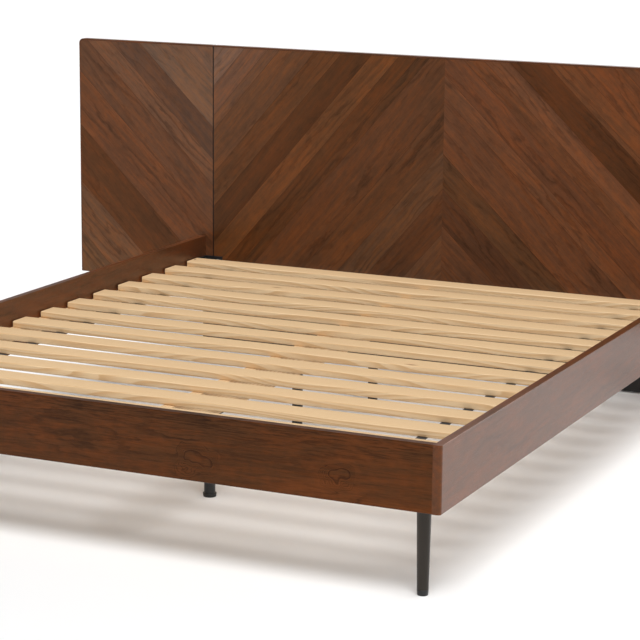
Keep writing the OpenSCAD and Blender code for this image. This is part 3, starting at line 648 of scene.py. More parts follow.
def screw_group():
    """Puts a screw at each point: a shank, and a head with a pressed drive. 'out' is its direction."""
    made, tree, given = group_of("screws", (
        "Head radius", "Head height", "Under head radius", "Dome", "Drive radius", "Drive depth",
        "Lobe depth", "Shank radius", "Shank length"))
    head = tree.node("GeometryNodeMeshCone", {"fill_type": "NGON"}, {
        "Vertices": SCREW_SIDES, "Side Segments": 2, "Radius Top": given.also("Head radius"),
        "Radius Bottom": given.also("Under head radius"), "Depth": given.also("Head height")})
    crown = tree.node("GeometryNodeExtrudeMesh", {"mode": "FACES"}, {
        "Mesh": head, "Selection": head.also("Top"), "Offset Scale": given.also("Dome")})
    crown_small = tree.node("GeometryNodeScaleElements", {"domain": "FACE"}, {
        "Geometry": crown, "Selection": crown.also("Top"), "Scale": CROWN_SHARE})
    rim = tree.node("GeometryNodeExtrudeMesh", {"mode": "FACES"}, {
        "Mesh": crown_small, "Selection": crown.also("Top"), "Offset Scale": 0.0})
    share = given.also("Drive radius") / (given.also("Head radius") * CROWN_SHARE)
    drive = tree.node("GeometryNodeScaleElements", {"domain": "FACE"}, {
        "Geometry": rim, "Selection": rim.also("Top"), "Scale": share})
    x, y, z = tree.node("GeometryNodeInputPosition", {}, {}).parts()
    turn = y.math("ARCTAN2", y, x)
    wave = turn.math("COSINE", turn * DRIVE_LOBES) * 0.5 + 0.5
    lobe = 1.0 - wave * given.also("Lobe depth")
    star = tree.node("GeometryNodeSetPosition", {}, {
        "Geometry": drive, "Selection": rim.also("Top"), "Position": tree.vector(x * lobe, y * lobe, z)})
    sunk = tree.node("GeometryNodeExtrudeMesh", {"mode": "FACES"}, {
        "Mesh": star, "Selection": rim.also("Top"), "Offset Scale": given.also("Drive depth") * -1.0})
    shank = tree.node("GeometryNodeMeshCylinder", {"fill_type": "NGON"}, {
        "Vertices": SHANK_SIDES, "Radius": given.also("Shank radius"), "Depth": given.also("Shank length")})
    lower = tree.vector(0.0, 0.0, given.also("Shank length") * -0.5)
    hung = tree.node("GeometryNodeTransform", {}, {"Geometry": shank, "Translation": lower})
    down = tree.vector(0.0, 0.0, given.also("Head height") * -1.0)
    whole_head = tree.node("GeometryNodeTransform", {}, {"Geometry": sunk, "Translation": down})
    join = made.nodes.new("GeometryNodeJoinGeometry")
    made.links.new(hung.socket, join.inputs[0])
    made.links.new(whole_head.socket, join.inputs[0])
    out = tree.node("GeometryNodeInputNamedAttribute", {"data_type": "FLOAT_VECTOR"}, {"Name": "out"})
    turned = tree.node("FunctionNodeAlignRotationToVector", {"axis": "Z"}, {"Vector": out})
    stand(tree, given, tree.node("GeometryNodeInstanceOnPoints", {}, {
        "Points": given, "Instance": Wire(tree, join.outputs[0]), "Rotation": turned}))
    return made


screws = screw_group()


def grown(name, points, group, inputs, vectors=None):
    """The plain mesh that a geometry group grows from some points."""
    mesh = bpy.data.meshes.new(name)
    mesh.from_pydata([tuple(p) for p in points], [], [])
    if vectors:
        out = mesh.attributes.new("out", "FLOAT_VECTOR", "POINT")
        for number, vector in enumerate(vectors):
            out.data[number].vector = vector
    holder = bpy.data.objects.new(name, mesh)
    bpy.context.scene.collection.objects.link(holder)
    maker = holder.modifiers.new("maker", "NODES")
    maker.node_group = group
    for item in group.interface.items_tree:
        if item.in_out == "INPUT" and item.name in inputs:
            maker[item.identifier] = inputs[item.name]
    holder.update_tag()
    baked = bpy.data.meshes.new_from_object(holder.evaluated_get(bpy.context.evaluated_depsgraph_get()))
    bpy.data.objects.remove(holder)
    bpy.data.meshes.remove(mesh)
    return baked


MM = 0.001
STAR = 0.30             # depth of the drive's lobes: a six-pointed star
HEXAGON = 0.134         # the same for a plain hexagon socket
# Kinds of screw, in millimetres across their heads, drives and shanks
FLANGED = {"head": 9.0, "head_height": 2.8, "under": 4.5, "dome": 0.25, "drive": 4.6, "depth": 2.0,
           "lobes": STAR, "shank": 4.4}
PAN_HEAD = {**FLANGED, "head_height": 2.4, "under": 8.8, "dome": 0.5}


def screwed(node, kind, length):
    """Stands screws of one kind where a CAD node has them. The length is in millimetres."""
    places = screw_places(node)
    sizes = {"Head radius": kind["head"] / 2, "Head height": kind["head_height"],
             "Under head radius": kind["under"] / 2, "Dome": kind["dome"],
             "Drive radius": kind["drive"] / 2, "Drive depth": kind["depth"],
             "Shank radius": kind["shank"] / 2, "Shank length": length}
    inputs = {name: value * MM for name, value in sizes.items()}
    inputs["Lobe depth"] = kind["lobes"]
    inputs["Finish"] = zinc
    mesh = grown(node + "_made", [p for p, _ in places], screws, inputs, [out for _, out in places])
    mesh.shade_smooth()
    mesh.set_sharp_from_angle(angle=EDGE)
    return piece(node + "_set", mesh, "bed", "zinc", node)


HEADBOARD_SCREW_L = 44.0
PLATE_SCREW_L = 26.0
screwed("headboard_screws", FLANGED, HEADBOARD_SCREW_L)
screwed("plate_screws", PAN_HEAD, PLATE_SCREW_L)


# ---------------------------------------------------------------- Bumpers and felt pads
# Moulded rubber discs keep the headboard off the wall, each held by a screw in its middle. Felt discs
# under the posts keep them from marking the floor.

TURN_STEPS = 64
LATHE_EDGE = math.radians(40)


def turned(name, outline, places, finish, out=Vector((0.0, 0.0, 1.0))):
    """A body turned on a lathe. outline is (radius, height) from bottom to top, both ends on the axis."""
    shape = bmesh.new()
    facing = out.to_track_quat("Z", "Y").to_matrix()
    for place in places:
        rings = []
        for radius, height in outline:
            if radius == 0:
                rings.append([shape.verts.new(Vector(place) + facing @ Vector((0.0, 0.0, height)))])
                continue
            ring = []
            for step in range(TURN_STEPS):
                angle = 2 * math.pi * step / TURN_STEPS
                local = Vector((radius * math.cos(angle), radius * math.sin(angle), height))
                ring.append(shape.verts.new(Vector(place) + facing @ local))
            rings.append(ring)
        for lower, upper in zip(rings, rings[1:]):
            for step in range(TURN_STEPS):
                after = (step + 1) % TURN_STEPS
                corners = [lower[step % len(lower)], lower[after % len(lower)],
                           upper[after % len(upper)], upper[step % len(upper)]]
                unique = list(dict.fromkeys(corners))
                shape.faces.new(unique)
    bmesh.ops.recalc_face_normals(shape, faces=shape.faces)
    mesh = bpy.data.meshes.new(name)
    shape.to_mesh(mesh)
    shape.free()
    mesh.materials.append(finish)
    mesh.shade_smooth()
    mesh.set_sharp_from_angle(angle=LATHE_EDGE)
    return mesh


def rounded(radius, height, ease, steps=4):
    """Outline of a disc with its two edges rounded, up to its upper face."""
    line = [(0.0, 0.0)]
    for step in range(steps + 1):
        angle = math.pi / 2 * step / steps
        line.append((radius - ease + ease * math.sin(angle), ease - ease * math.cos(angle)))
    for step in range(steps + 1):
        angle = math.pi / 2 * step / steps
        line.append((radius - ease + ease * math.cos(angle), height - ease + ease * math.sin(angle)))
    return line


def middles(node):
    """How far across the bed the middle of each separate solid of a CAD node lies."""
    return [sum(p.x for p in solid) / len(solid) for solid in solids_of(node)]


MOULD_GRAIN = ((700.0, 700.0, 700.0), 3.0)
BLOOM = ((60.0, 60.0, 60.0), 3.0)
CLEAN_RUBBER = (*linear(24, 24, 25), 1.0)
BLOOMED_RUBBER = (*linear(44, 44, 46), 1.0)
RUBBER_ROUGHNESS = 0.72
MOULD_DEPTH = 0.00006


def rubber_paint(tree):
    """Black rubber, dull with a faint bloom."""
    place = tree.in_metres()
    grain = tree.noise(place, *MOULD_GRAIN)
    bloom = tree.noise(place, *BLOOM).soft_step(0.4, 0.7)
    return {"Base Color": tree.mix(bloom, CLEAN_RUBBER, BLOOMED_RUBBER),
            "Roughness": RUBBER_ROUGHNESS + (grain - 0.5) * 0.2, "Normal": relief(tree, grain, MOULD_DEPTH)}


rubber = finish_of("black_rubber", rubber_paint)
BUMPER_EASE = 0.0022
WELL_MOUTH = 0.42       # the screw's well: its radii and its floor as parts of the bumper's own sizes
WELL_TOP = 0.36
WELL_FOOT = 0.34
WELL_FLOOR = 0.45
WELL_CHAMFER = 0.0006
bumper_low, bumper_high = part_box("wall_bumpers")
bumper_t = bumper_high.y - bumper_low.y
bumper_r = (bumper_high.z - bumper_low.z) / 2
bumper_line = rounded(bumper_r, bumper_t, BUMPER_EASE)
bumper_line += [
    (bumper_r * WELL_MOUTH, bumper_t), (bumper_r * WELL_TOP, bumper_t - WELL_CHAMFER),
    (bumper_r * WELL_FOOT, bumper_t * WELL_FLOOR), (0.0, bumper_t * WELL_FLOOR)]
bumper_z = (bumper_low.z + bumper_high.z) / 2
bumper_places = [Vector((x, bumper_low.y, bumper_z)) for x in middles("wall_bumpers")]
bumpers = turned("bumpers", bumper_line, bumper_places, rubber, Vector((0.0, 1.0, 0.0)))
piece("wall_bumpers_moulded", bumpers, "bed", "black_rubber", "wall_bumpers")

FELT_FIBRES = ((900.0, 1500.0, 1100.0), 5.0, 0.7)
FELT_CLUMPS = ((180.0, 180.0, 180.0), 3.0)
DARK_WOOL = (*linear(40, 37, 34), 1.0)
PALE_WOOL = (*linear(82, 76, 70), 1.0)
FELT_DEPTH = 0.0004


def felt_paint(tree):
    """Pressed grey-brown wool felt: tangled fibres and a fuzzy surface."""
    place = tree.in_metres()
    fibres = tree.noise(place, *FELT_FIBRES)
    clumps = tree.noise(place, *FELT_CLUMPS)
    return {"Base Color": tree.mix(fibres.soft_step(0.35, 0.65), DARK_WOOL, PALE_WOOL), "Roughness": 0.95,
            "Sheen Weight": 0.3, "Normal": relief(tree, fibres * 0.7 + clumps * 0.3, FELT_DEPTH)}


felt = finish_of("felt", felt_paint)
PAD_EASE = 0.0012
PAD_CRUSH = 0.0002      # how much smaller than its place the felt is cut
pad_low, pad_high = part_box("post_pads")
pad_t = pad_high.z - pad_low.z
pad_line = rounded((pad_high.y - pad_low.y) / 2 - PAD_CRUSH, pad_t, PAD_EASE)
pad_line.append((0.0, pad_t))
pad_y = (pad_low.y + pad_high.y) / 2
pad_places = [Vector((x, pad_y, 0.0)) for x in middles("post_pads")]
piece("post_pads_felt", turned("pads", pad_line, pad_places, felt), "bed", "felt", "post_pads")


# ---------------------------------------------------------------- Rails
# Three walnut rails, lacquered like the headboard: the foot rail runs between the side rails, whose
# outer corners are rounded. The foot rail is cut from a board with two small knots in its lower half.

RAIL_EASE = 0.0008
foot_low, foot_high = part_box("foot_rail")
foot_middle_z = (foot_low.z + foot_high.z) / 2
# Knots as (place across the bed, height, size), all in metres
KNOTS = [(0.24, foot_low.z + 0.048, 0.040), (0.59, foot_low.z + 0.050, 0.030),
         (-0.47, foot_low.z + 0.038, 0.026)]
KNOT_WARP = ((15.0, 15.0, 1.0), 2.0)
KNOT_UNEVEN = 2.2       # how far from round a knot is, in knot sizes
KNOT_LENGTH = 1.5
KNOT_REACH = -0.7       # how fast the bend of the rings dies away from a knot
KNOT_BEND = -1.2
KNOT_RINGS = 1.7


def rings_past_knots(rings, along, across):
    """Bends the rings round each knot, and closes them into small uneven loops inside it."""
    near = 0.0
    tree = rings.tree
    warp_x, warp_z, _ = tree.noise(tree.vector(along, across, 0.0), *KNOT_WARP).also("Color").parts()
    for x, z, size in KNOTS:
        off_x = (along - x) / (size * KNOT_LENGTH) + (warp_x - 0.5) * KNOT_UNEVEN
        off_z = (across - z) / size + (warp_z - 0.5) * KNOT_UNEVEN
        far = off_x * off_x + off_z * off_z
        pull = far.math("EXPONENT", far * KNOT_REACH)
        circle = far.math("SQRT", far)
        inside = circle.soft_step(0.45, 1.1, 1.0, 0.0)
        rings = (rings + off_z * pull * KNOT_BEND) * (1.0 - inside) + circle * KNOT_RINGS * inside
        near = near + pull
    return rings, near


FOOT_TONE = (*linear(75, 41, 18), 1.0)
FOOT_CONTRAST = 1.15
FOOT_LIGHT = 1.17
SHORT_STREAKS = ((22.0, 360.0, 360.0), 3.0, 0.6)
SHORT_STREAK_SHADE = 0.58
TOP_EDGE_SHADE = 0.10


def foot_rail_paint(tree):
    """Walnut board with its grain across the bed, and most of its short dark streaks in its upper half."""
    x, y, z = tree.in_metres().parts()
    place = tree.vector(x, z, y)
    upper = z.soft_step(foot_middle_z, foot_high.z, 0.45, 1.0)
    short = tree.noise(place, *SHORT_STREAKS).soft_step(0.44, 0.64)
    higher = z.soft_step(foot_low.z, foot_high.z, 0.0, TOP_EDGE_SHADE)
    sockets = walnut_sockets(tree, place, FOOT_TONE, rings_past_knots, upper, FOOT_CONTRAST)
    light = FOOT_LIGHT - short * upper * SHORT_STREAK_SHADE - higher
    sockets["Base Color"] = tree.scaled(sockets["Base Color"], light)
    return sockets


SIDE_TONE = (*linear(92, 54, 32), 1.0)
SIDE_FROM = 7.3         # where along its log the side rails' figure starts
SIDE_TILT = 0.15        # how far their rings lean from one face to the other
SIDE_DASHES = 0.6
SIDE_CONTRAST = 0.8
SIDE_COAT = 0.25


def side_rail_paint(tree):
    """Walnut board with its grain along the bed, and a little more lacquer on it."""
    x, y, z = tree.in_metres().parts()
    place = tree.vector(y + SIDE_FROM, z + x * SIDE_TILT, x)
    sockets = walnut_sockets(tree, place, SIDE_TONE, None, SIDE_DASHES, SIDE_CONTRAST)
    sockets["Coat Weight"] = SIDE_COAT
    return sockets


foot_walnut = finish_of("foot_walnut", foot_rail_paint)
side_walnut = finish_of("side_walnut", side_rail_paint)
plain("foot_rail", foot_walnut, RAIL_EASE, "walnut_board", 3)
for rail in ("left_side_rail", "right_side_rail"):
    plain(rail, side_walnut, RAIL_EASE, "walnut_board", 3)


# ---------------------------------------------------------------- Rail joints and brackets
# Beech dowels line up the corners. Steel corner brackets under the cleats pull the rails together and
# carry the legs, and taller angles at the head bolt each side rail to its post.


BEECH_FLECK = ((70.0, 600.0, 600.0), 2.0)
BEECH_STREAK = ((10.0, 240.0, 240.0), 3.0)
DEEP_BEECH = (*linear(196, 158, 118), 1.0)
PALE_BEECH = (*linear(222, 190, 150), 1.0)
FLECK_BROWN = (*linear(150, 108, 72), 1.0)


def beech_paint(tree):
    """Plain beech with short dark flecks."""
    place = tree.in_metres()
    fleck = tree.noise(place, *BEECH_FLECK).soft_step(0.60, 0.68)
    streak = tree.noise(place, *BEECH_STREAK)
    shade = tree.mix(fleck * 0.5, tree.mix(streak, DEEP_BEECH, PALE_BEECH), FLECK_BROWN)
    return {"Base Color": shade, "Roughness": 0.6, "Normal": relief(tree, streak, PORE_DEPTH)}


DOWEL_EASE = 0.0008
INSERT_EASE = 0.0003
plain("corner_dowels", finish_of("beech", beech_paint), DOWEL_EASE, "beech")
plain("rail_inserts", zinc, INSERT_EASE, "zinc")

ORANGE_PEEL = ((420.0, 420.0, 420.0), 2.0)
DUST = ((22.0, 22.0, 22.0), 4.0, 0.65)
POWDER_BLACK = (*linear(22, 22, 23), 1.0)
DUSTY_BLACK = (*linear(38, 38, 39), 1.0)
POWDER_ROUGHNESS = 0.40


def black_steel_paint(tree):
    """Black powder coat on steel: a fine orange peel."""
    place = tree.in_metres()
    peel = tree.noise(place, *ORANGE_PEEL)
    dust = tree.noise(place, *DUST)
    return {"Base Color": tree.mix(dust, POWDER_BLACK, DUSTY_BLACK),
            "Roughness": POWDER_ROUGHNESS + (dust - 0.5) * 0.2, "Normal": relief(tree, peel, MOULD_DEPTH)}


black_steel = finish_of("black_steel", black_steel_paint)
BRACKET_EASE = 0.0005
for bracket in ("left_corner_bracket", "right_corner_bracket", "left_head_bracket", "right_head_bracket"):
    plain(bracket, black_steel, BRACKET_EASE, "black_steel")
M6_BOLT = {"head": 10.5, "head_height": 3.3, "under": 10.2, "dome": 0.5, "drive": 4.6, "depth": 2.0,
           "lobes": HEXAGON, "shank": 6.0}
M8_BOLT = {"head": 14.0, "head_height": 4.4, "under": 13.6, "dome": 0.6, "drive": 5.8, "depth": 2.4,
           "lobes": HEXAGON, "shank": 8.0}
CORNER_BOLT_L = 17.0
HEAD_BOLT_L = 60.0
screwed("bracket_bolts", M6_BOLT, CORNER_BOLT_L)
screwed("head_bolts", M8_BOLT, HEAD_BOLT_L)
WASHER_EASE = 0.0002
NUT_EASE = 0.0006
plain("head_washers", zinc, WASHER_EASE, "zinc")
plain("head_nuts", zinc, NUT_EASE, "zinc")


# ---------------------------------------------------------------- Foot legs
# Slim tapered steel legs with a dark bronze lacquer stand under the foot corners. A flange welded on
# top takes four bolts, and a black plastic glide screws out of the lower end.


BRUSHING = ((500.0, 500.0, 14.0), 3.0)
BRONZE_CLOUD = ((30.0, 30.0, 8.0), 3.0)
DARK_BRONZE = (*linear(50, 46, 42), 1.0)
PALE_BRONZE = (*linear(66, 61, 56), 1.0)
BRONZE_ROUGHNESS = 0.36
BRUSH_DEPTH = 0.00003


def bronze_paint(tree):
    """Dark bronze lacquer over brushed steel."""
    place = tree.in_metres()
    brushed = tree.noise(place, *BRUSHING)
    cloud = tree.noise(place, *BRONZE_CLOUD)
    return {"Base Color": tree.mix(cloud, DARK_BRONZE, PALE_BRONZE), "Metallic": 0.85,
            "Roughness": BRONZE_ROUGHNESS + (brushed - 0.5) * 0.14,
            "Normal": relief(tree, brushed, BRUSH_DEPTH)}


PLASTIC_GRAIN = ((1100.0, 1100.0, 1100.0), 2.0)
PLASTIC_WEAR = ((90.0, 90.0, 90.0), 3.0)
CLEAN_PLASTIC = (*linear(16, 16, 17), 1.0)
WORN_PLASTIC = (*linear(30, 30, 31), 1.0)
PLASTIC_ROUGHNESS = 0.45
PLASTIC_DEPTH = 0.00004


def plastic_paint(tree):
    """Black moulded plastic with a fine texture."""
    place = tree.in_metres()
    grain = tree.noise(place, *PLASTIC_GRAIN)
    wear = tree.noise(place, *PLASTIC_WEAR)
    return {"Base Color": tree.mix(wear, CLEAN_PLASTIC, WORN_PLASTIC),
            "Roughness": PLASTIC_ROUGHNESS + (grain - 0.5) * 0.25,
            "Normal": relief(tree, grain, PLASTIC_DEPTH)}


bronze = finish_of("bronze_steel", bronze_paint)
plastic = finish_of("black_plastic", plastic_paint)
GLIDE_H = 0.013
GLIDE_R = 0.013
LEG_TOP_R = 0.0165
FLANGE_R = 0.032
FLANGE_T = 0.004
BORE_R = 0.0042
BORE_DEPTH = 0.004
FLANGE_EASE = 0.0006
leg_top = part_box("right_foot_leg")[1].z
z_flange = leg_top - FLANGE_T
# The leg's outline from its bore out to the flange's upper face: the small steps between are its rounded
# lower rim and the weld under the flange.
leg_line = [
    (0.0, GLIDE_H + BORE_DEPTH), (BORE_R, GLIDE_H + BORE_DEPTH), (BORE_R, GLIDE_H),
    (GLIDE_R - 0.0008, GLIDE_H), (GLIDE_R - 0.0002, GLIDE_H + 0.0003), (GLIDE_R, GLIDE_H + 0.001),
    (LEG_TOP_R - 0.0002, z_flange - 0.004), (LEG_TOP_R + 0.0006, z_flange - 0.0022),
    (LEG_TOP_R + 0.0022, z_flange - 0.0006), (LEG_TOP_R + 0.0034, z_flange),
    (FLANGE_R - FLANGE_EASE, z_flange), (FLANGE_R, z_flange + FLANGE_EASE),
    (FLANGE_R, leg_top - FLANGE_EASE), (FLANGE_R - FLANGE_EASE, leg_top), (0.0, leg_top)]

GLIDE_EASE = 0.0012
GLIDE_UNDERCUT = 0.001      # how much narrower a glide's lower rim is than its upper one
STEM_R = 0.0039
STEM_POINT = 0.0008
THREAD_PITCH = 0.00125
THREAD_DEPTH = 0.0005


def glide_line(radius, height, top):
    """Outline of a glide: a disc with a soft rim and its threaded stem."""
    line = rounded(radius, height, GLIDE_EASE)
    line[1:6] = [(r - GLIDE_UNDERCUT, z) for r, z in line[1:6]]
    line.append((STEM_R, height))
    z = height + THREAD_PITCH
    while z < top - THREAD_PITCH:
        line += [(STEM_R, z - THREAD_PITCH * 0.5), (STEM_R - THREAD_DEPTH, z)]
        z += THREAD_PITCH
    line += [(STEM_R - STEM_POINT, top), (0.0, top)]
    return line


def foot_of(node):
    """The point on the floor under the middle of a CAD node."""
    box_low, box_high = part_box(node)
    return Vector(((box_low.x + box_high.x) / 2, (box_low.y + box_high.y) / 2, 0.0))


def glide(node, radius, height, place):
    """Makes a glide and its stem, which screw in and out of their leg together."""
    line = glide_line(radius, height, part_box(node)[1].z)
    piece(node + "_turned", turned(node, line, [place], plastic), node, "black_plastic", node)


for side in ("left", "right"):
    leg = side + "_foot_leg"
    piece(leg + "_turned", turned(leg, leg_line, [foot_of(leg)], bronze), "bed", "bronze_steel", leg)
    glide(side + "_leg_glide", GLIDE_R, GLIDE_H, foot_of(leg))
screwed("leg_screws", M6_BOLT, CORNER_BOLT_L)


# ---------------------------------------------------------------- Cleats, centre beam and its legs
# Sawn pine cleats are screwed inside the side rails. A pine beam hangs in folded steel stirrups along
# the middle of the bed, and stands on three round steel legs with adjustable glides.


PLANK_APART = (3.1, 0.71, 0.37)     # how far apart in one log two planks lie: along, across and deep
PINE_WANDER = ((1.6, 9.0, 9.0), 1.0)
PINE_RINGS = (150.0, 60.0)          # rings in a metre across and in a metre of depth
PINE_RING_WANDER = 12.0
PINE_FIBRE = ((18.0, 700.0, 700.0), 3.0)
PINE_CLOUD = ((1.8, 14.0, 14.0), 2.0)
PINE_KNOTS = 2.6                    # knots in a metre of plank
PINE_KNOT_APART = (5.3, 2.1, 1.7)
PINE_KNOT_SPACING = 3.0
EARLY_WOOD = (*linear(224, 195, 154), 1.0)
LATE_WOOD = (*linear(199, 158, 110), 1.0)
CLOUDED_PINE = (*linear(212, 174, 130), 1.0)
PINE_FIBRE_BROWN = (*linear(184, 142, 96), 1.0)
PINE_KNOT_BROWN = (*linear(120, 72, 40), 1.0)
PINE_ROUGHNESS = 0.58
PINE_DEPTH = 0.0002


def pine_sockets(tree, place, board):
    """Planed pine. place is (along, across, deep), and board picks a different plank."""
    along, across, deep = place.parts()
    apart_along, apart_across, apart_deep = PLANK_APART
    plank = tree.vector(
        along + board * apart_along, across + board * apart_across, deep + board * apart_deep)
    wander = tree.noise(plank, *PINE_WANDER) - 0.5
    rings = across * PINE_RINGS[0] + deep * PINE_RINGS[1] + wander * PINE_RING_WANDER
    turn = rings.math("FRACT", rings)
    late = turn.soft_step(0.25, 0.90) * turn.soft_step(0.92, 1.0, 1.0, 0.0)
    fibre = tree.noise(plank, *PINE_FIBRE)
    cloud = tree.noise(plank, *PINE_CLOUD)
    knot_along, knot_across, knot_deep = PINE_KNOT_APART
    knot_place = tree.vector(
        along + board * knot_along, across * PINE_KNOT_SPACING + board * knot_across, board * knot_deep)
    knot_cell = tree.node("ShaderNodeTexVoronoi", {"feature": "F1"}, {
        "Vector": knot_place, "Scale": PINE_KNOTS, "Randomness": 1.0})
    knot = knot_cell.soft_step(0.020, 0.075, 1.0, 0.0)
    shade = tree.mix(late * 0.8, EARLY_WOOD, LATE_WOOD)
    shade = tree.mix((cloud - 0.3) * 0.6, shade, CLOUDED_PINE)
    shade = tree.mix((fibre - 0.4) * 0.35, shade, PINE_FIBRE_BROWN)
    shade = tree.mix(knot * 0.85, shade, PINE_KNOT_BROWN)
    return {"Base Color": shade, "Roughness": PINE_ROUGHNESS + (fibre - 0.5) * 0.15,
            "Normal": relief(tree, fibre * 0.6 + late * 0.4, PINE_DEPTH)}


PINE_TILT = 0.3         # how far the cleats' and beam's rings lean across their width


def lengthwise_pine(tree):
    """Pine with its grain along the bed."""
    x, y, z = tree.in_metres().parts()
    board = tree.colour_map("board").also("Fac")
    return pine_sockets(tree, tree.vector(y, z + x * PINE_TILT, x), board)


def crosswise_pine(tree):
    """Pine with its grain across the bed."""
    return pine_sockets(tree, tree.in_metres(), tree.colour_map("board").also("Fac"))


pine_along = finish_of("pine_along", lengthwise_pine)
pine_across = finish_of("pine_across", crosswise_pine)
CLEAT_EASE = 0.0015
CLEAT_BOARD_FIRST = 0.4
CLEAT_BOARD_STEP = 1.9
for number, timber in enumerate(("left_cleat", "right_cleat", "centre_beam")):
    made = plain(timber, pine_along, CLEAT_EASE, "pine", 3)
    board = made.data.attributes.new("board", "FLOAT", "POINT")
    for at in board.data:
        at.value = number * CLEAT_BOARD_STEP + CLEAT_BOARD_FIRST
SUNK = {"head": 8.0, "head_height": 2.4, "under": 4.0, "dome": 0.2, "drive": 4.0, "depth": 1.8,
        "lobes": STAR, "shank": 3.9}
CLEAT_SCREW_L = 41.0
HANGER_SCREW_L = 18.0
BEAM_LEG_SCREW_L = 26.0
screwed("cleat_screws", SUNK, CLEAT_SCREW_L)
for hanger in ("foot_beam_hanger", "head_beam_hanger"):
    plain(hanger, black_steel, BRACKET_EASE, "black_steel")
screwed("hanger_screws", PAN_HEAD, HANGER_SCREW_L)
BEAM_GLIDE_H = 0.010
BEAM_GLIDE_R = 0.017
for place in ("foot", "middle", "head"):
    plain(place + "_beam_leg", black_steel, BRACKET_EASE, "black_steel")
    glide(place + "_beam_glide", BEAM_GLIDE_R, BEAM_GLIDE_H, foot_of(place + "_beam_glide"))
screwed("beam_leg_screws", PAN_HEAD, BEAM_LEG_SCREW_L)


# ---------------------------------------------------------------- Slats
# Planed pine slats with rounded edges lie on the cleats and the beam. Two webbing straps stapled under
# them keep their distance, and the outer two are screwed down.


EDGE_STEPS = 4
SLAT_BOARD_FIRST = 0.6
SLAT_BOARD_STEP = 1.37


def slat_group():
    """A rounded slat at each point, numbered so that each shows its own wood."""
    made, tree, given = group_of("slats", ("Length", "Width", "Thickness", "Edge radius"))
    half = tree.vector(given.also("Length") * -0.5, 0.0, 0.0)
    other = tree.vector(given.also("Length") * 0.5, 0.0, 0.0)
    spine = tree.node("GeometryNodeCurvePrimitiveLine", {}, {"Start": half, "End": other})
    section = tree.node("GeometryNodeCurvePrimitiveQuadrilateral", {"mode": "RECTANGLE"}, {
        "Width": given.also("Width"), "Height": given.also("Thickness")})
    eased = tree.node("GeometryNodeFilletCurve", {"mode": "POLY"}, {
        "Curve": section, "Count": EDGE_STEPS, "Radius": given.also("Edge radius")})
    slat = tree.node("GeometryNodeCurveToMesh", {}, {
        "Curve": spine, "Profile Curve": eased, "Fill Caps": True})
    placed = tree.node("GeometryNodeInstanceOnPoints", {}, {"Points": given, "Instance": slat})
    number = tree.node("GeometryNodeInputIndex", {}, {})
    marked = tree.node("GeometryNodeStoreNamedAttribute", {"domain": "INSTANCE", "data_type": "FLOAT"}, {
        "Geometry": placed, "Name": "board", "Value": number * SLAT_BOARD_STEP + SLAT_BOARD_FIRST})
    stand(tree, given, marked)
    return made


SLAT_EASE = 0.0035
slat_low, slat_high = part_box("slats")
slat_length = slat_high.x - slat_low.x
slat_t = slat_high.z - slat_low.z
slat_rows = [(min(p.y for p in solid), max(p.y for p in solid)) for solid in solids_of("slats")]
slat_w = slat_rows[0][1] - slat_rows[0][0]
slat_z = (slat_low.z + slat_high.z) / 2
slat_middles = [Vector((0.0, (near + far) / 2, slat_z)) for near, far in slat_rows]
slat_mesh = grown("slats_made", slat_middles, slat_group(), {
    "Length": slat_length, "Width": slat_w, "Thickness": slat_t, "Edge radius": SLAT_EASE,
    "Finish": pine_across})
slat_mesh.shade_smooth()
slat_mesh.set_sharp_from_angle(angle=EDGE)
piece("slats_planed", slat_mesh, "bed", "pine", "slats")
PROUD_DOME = 0.35       # the slats' screw heads stand a little rounder
SLAT_SCREW_L = 37.0
screwed("slat_screws", {**SUNK, "dome": PROUD_DOME}, SLAT_SCREW_L)

WARP_WIDTH = 0.0021     # of two neighbouring yarns, along and across the strap
WEFT_WIDTH = 0.0016
YARN_FUZZ = ((1500.0, 1500.0, 1500.0), 2.0)
DARK_YARN = (*linear(26, 26, 28), 1.0)
PALE_YARN = (*linear(74, 74, 78), 1.0)
YARN_ROUGHNESS = 0.62
WEAVE_DEPTH = 0.0004


def webbing_paint(tree):
    """Grey-black polypropylene webbing: a tight plain weave of flat yarns."""
    run, over, _ = tree.own_map("weave").parts()
    warp = over.math("SINE", over * (2 * math.pi / WARP_WIDTH))
    weft = run.math("SINE", run * (2 * math.pi / WEFT_WIDTH))
    knit = (warp * weft) * 0.5 + 0.5
    fuzz = tree.noise(tree.in_metres(), *YARN_FUZZ)
    return {"Base Color": tree.mix(knit, DARK_YARN, PALE_YARN),
            "Roughness": YARN_ROUGHNESS + (fuzz - 0.5) * 0.3,
            "Normal": relief(tree, knit * 0.85 + fuzz * 0.15, WEAVE_DEPTH)}


webbing = finish_of("webbing", webbing_paint)
strap_low, strap_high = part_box("slat_straps")
STRAP_SAG = 0.0016
STRAP_STEP = 0.004
SELVEDGE = 0.4          # how far in a strap's rounded edge reaches, as a part of its thickness
SELVEDGE_LOW = 0.3
SELVEDGE_HIGH = 0.7


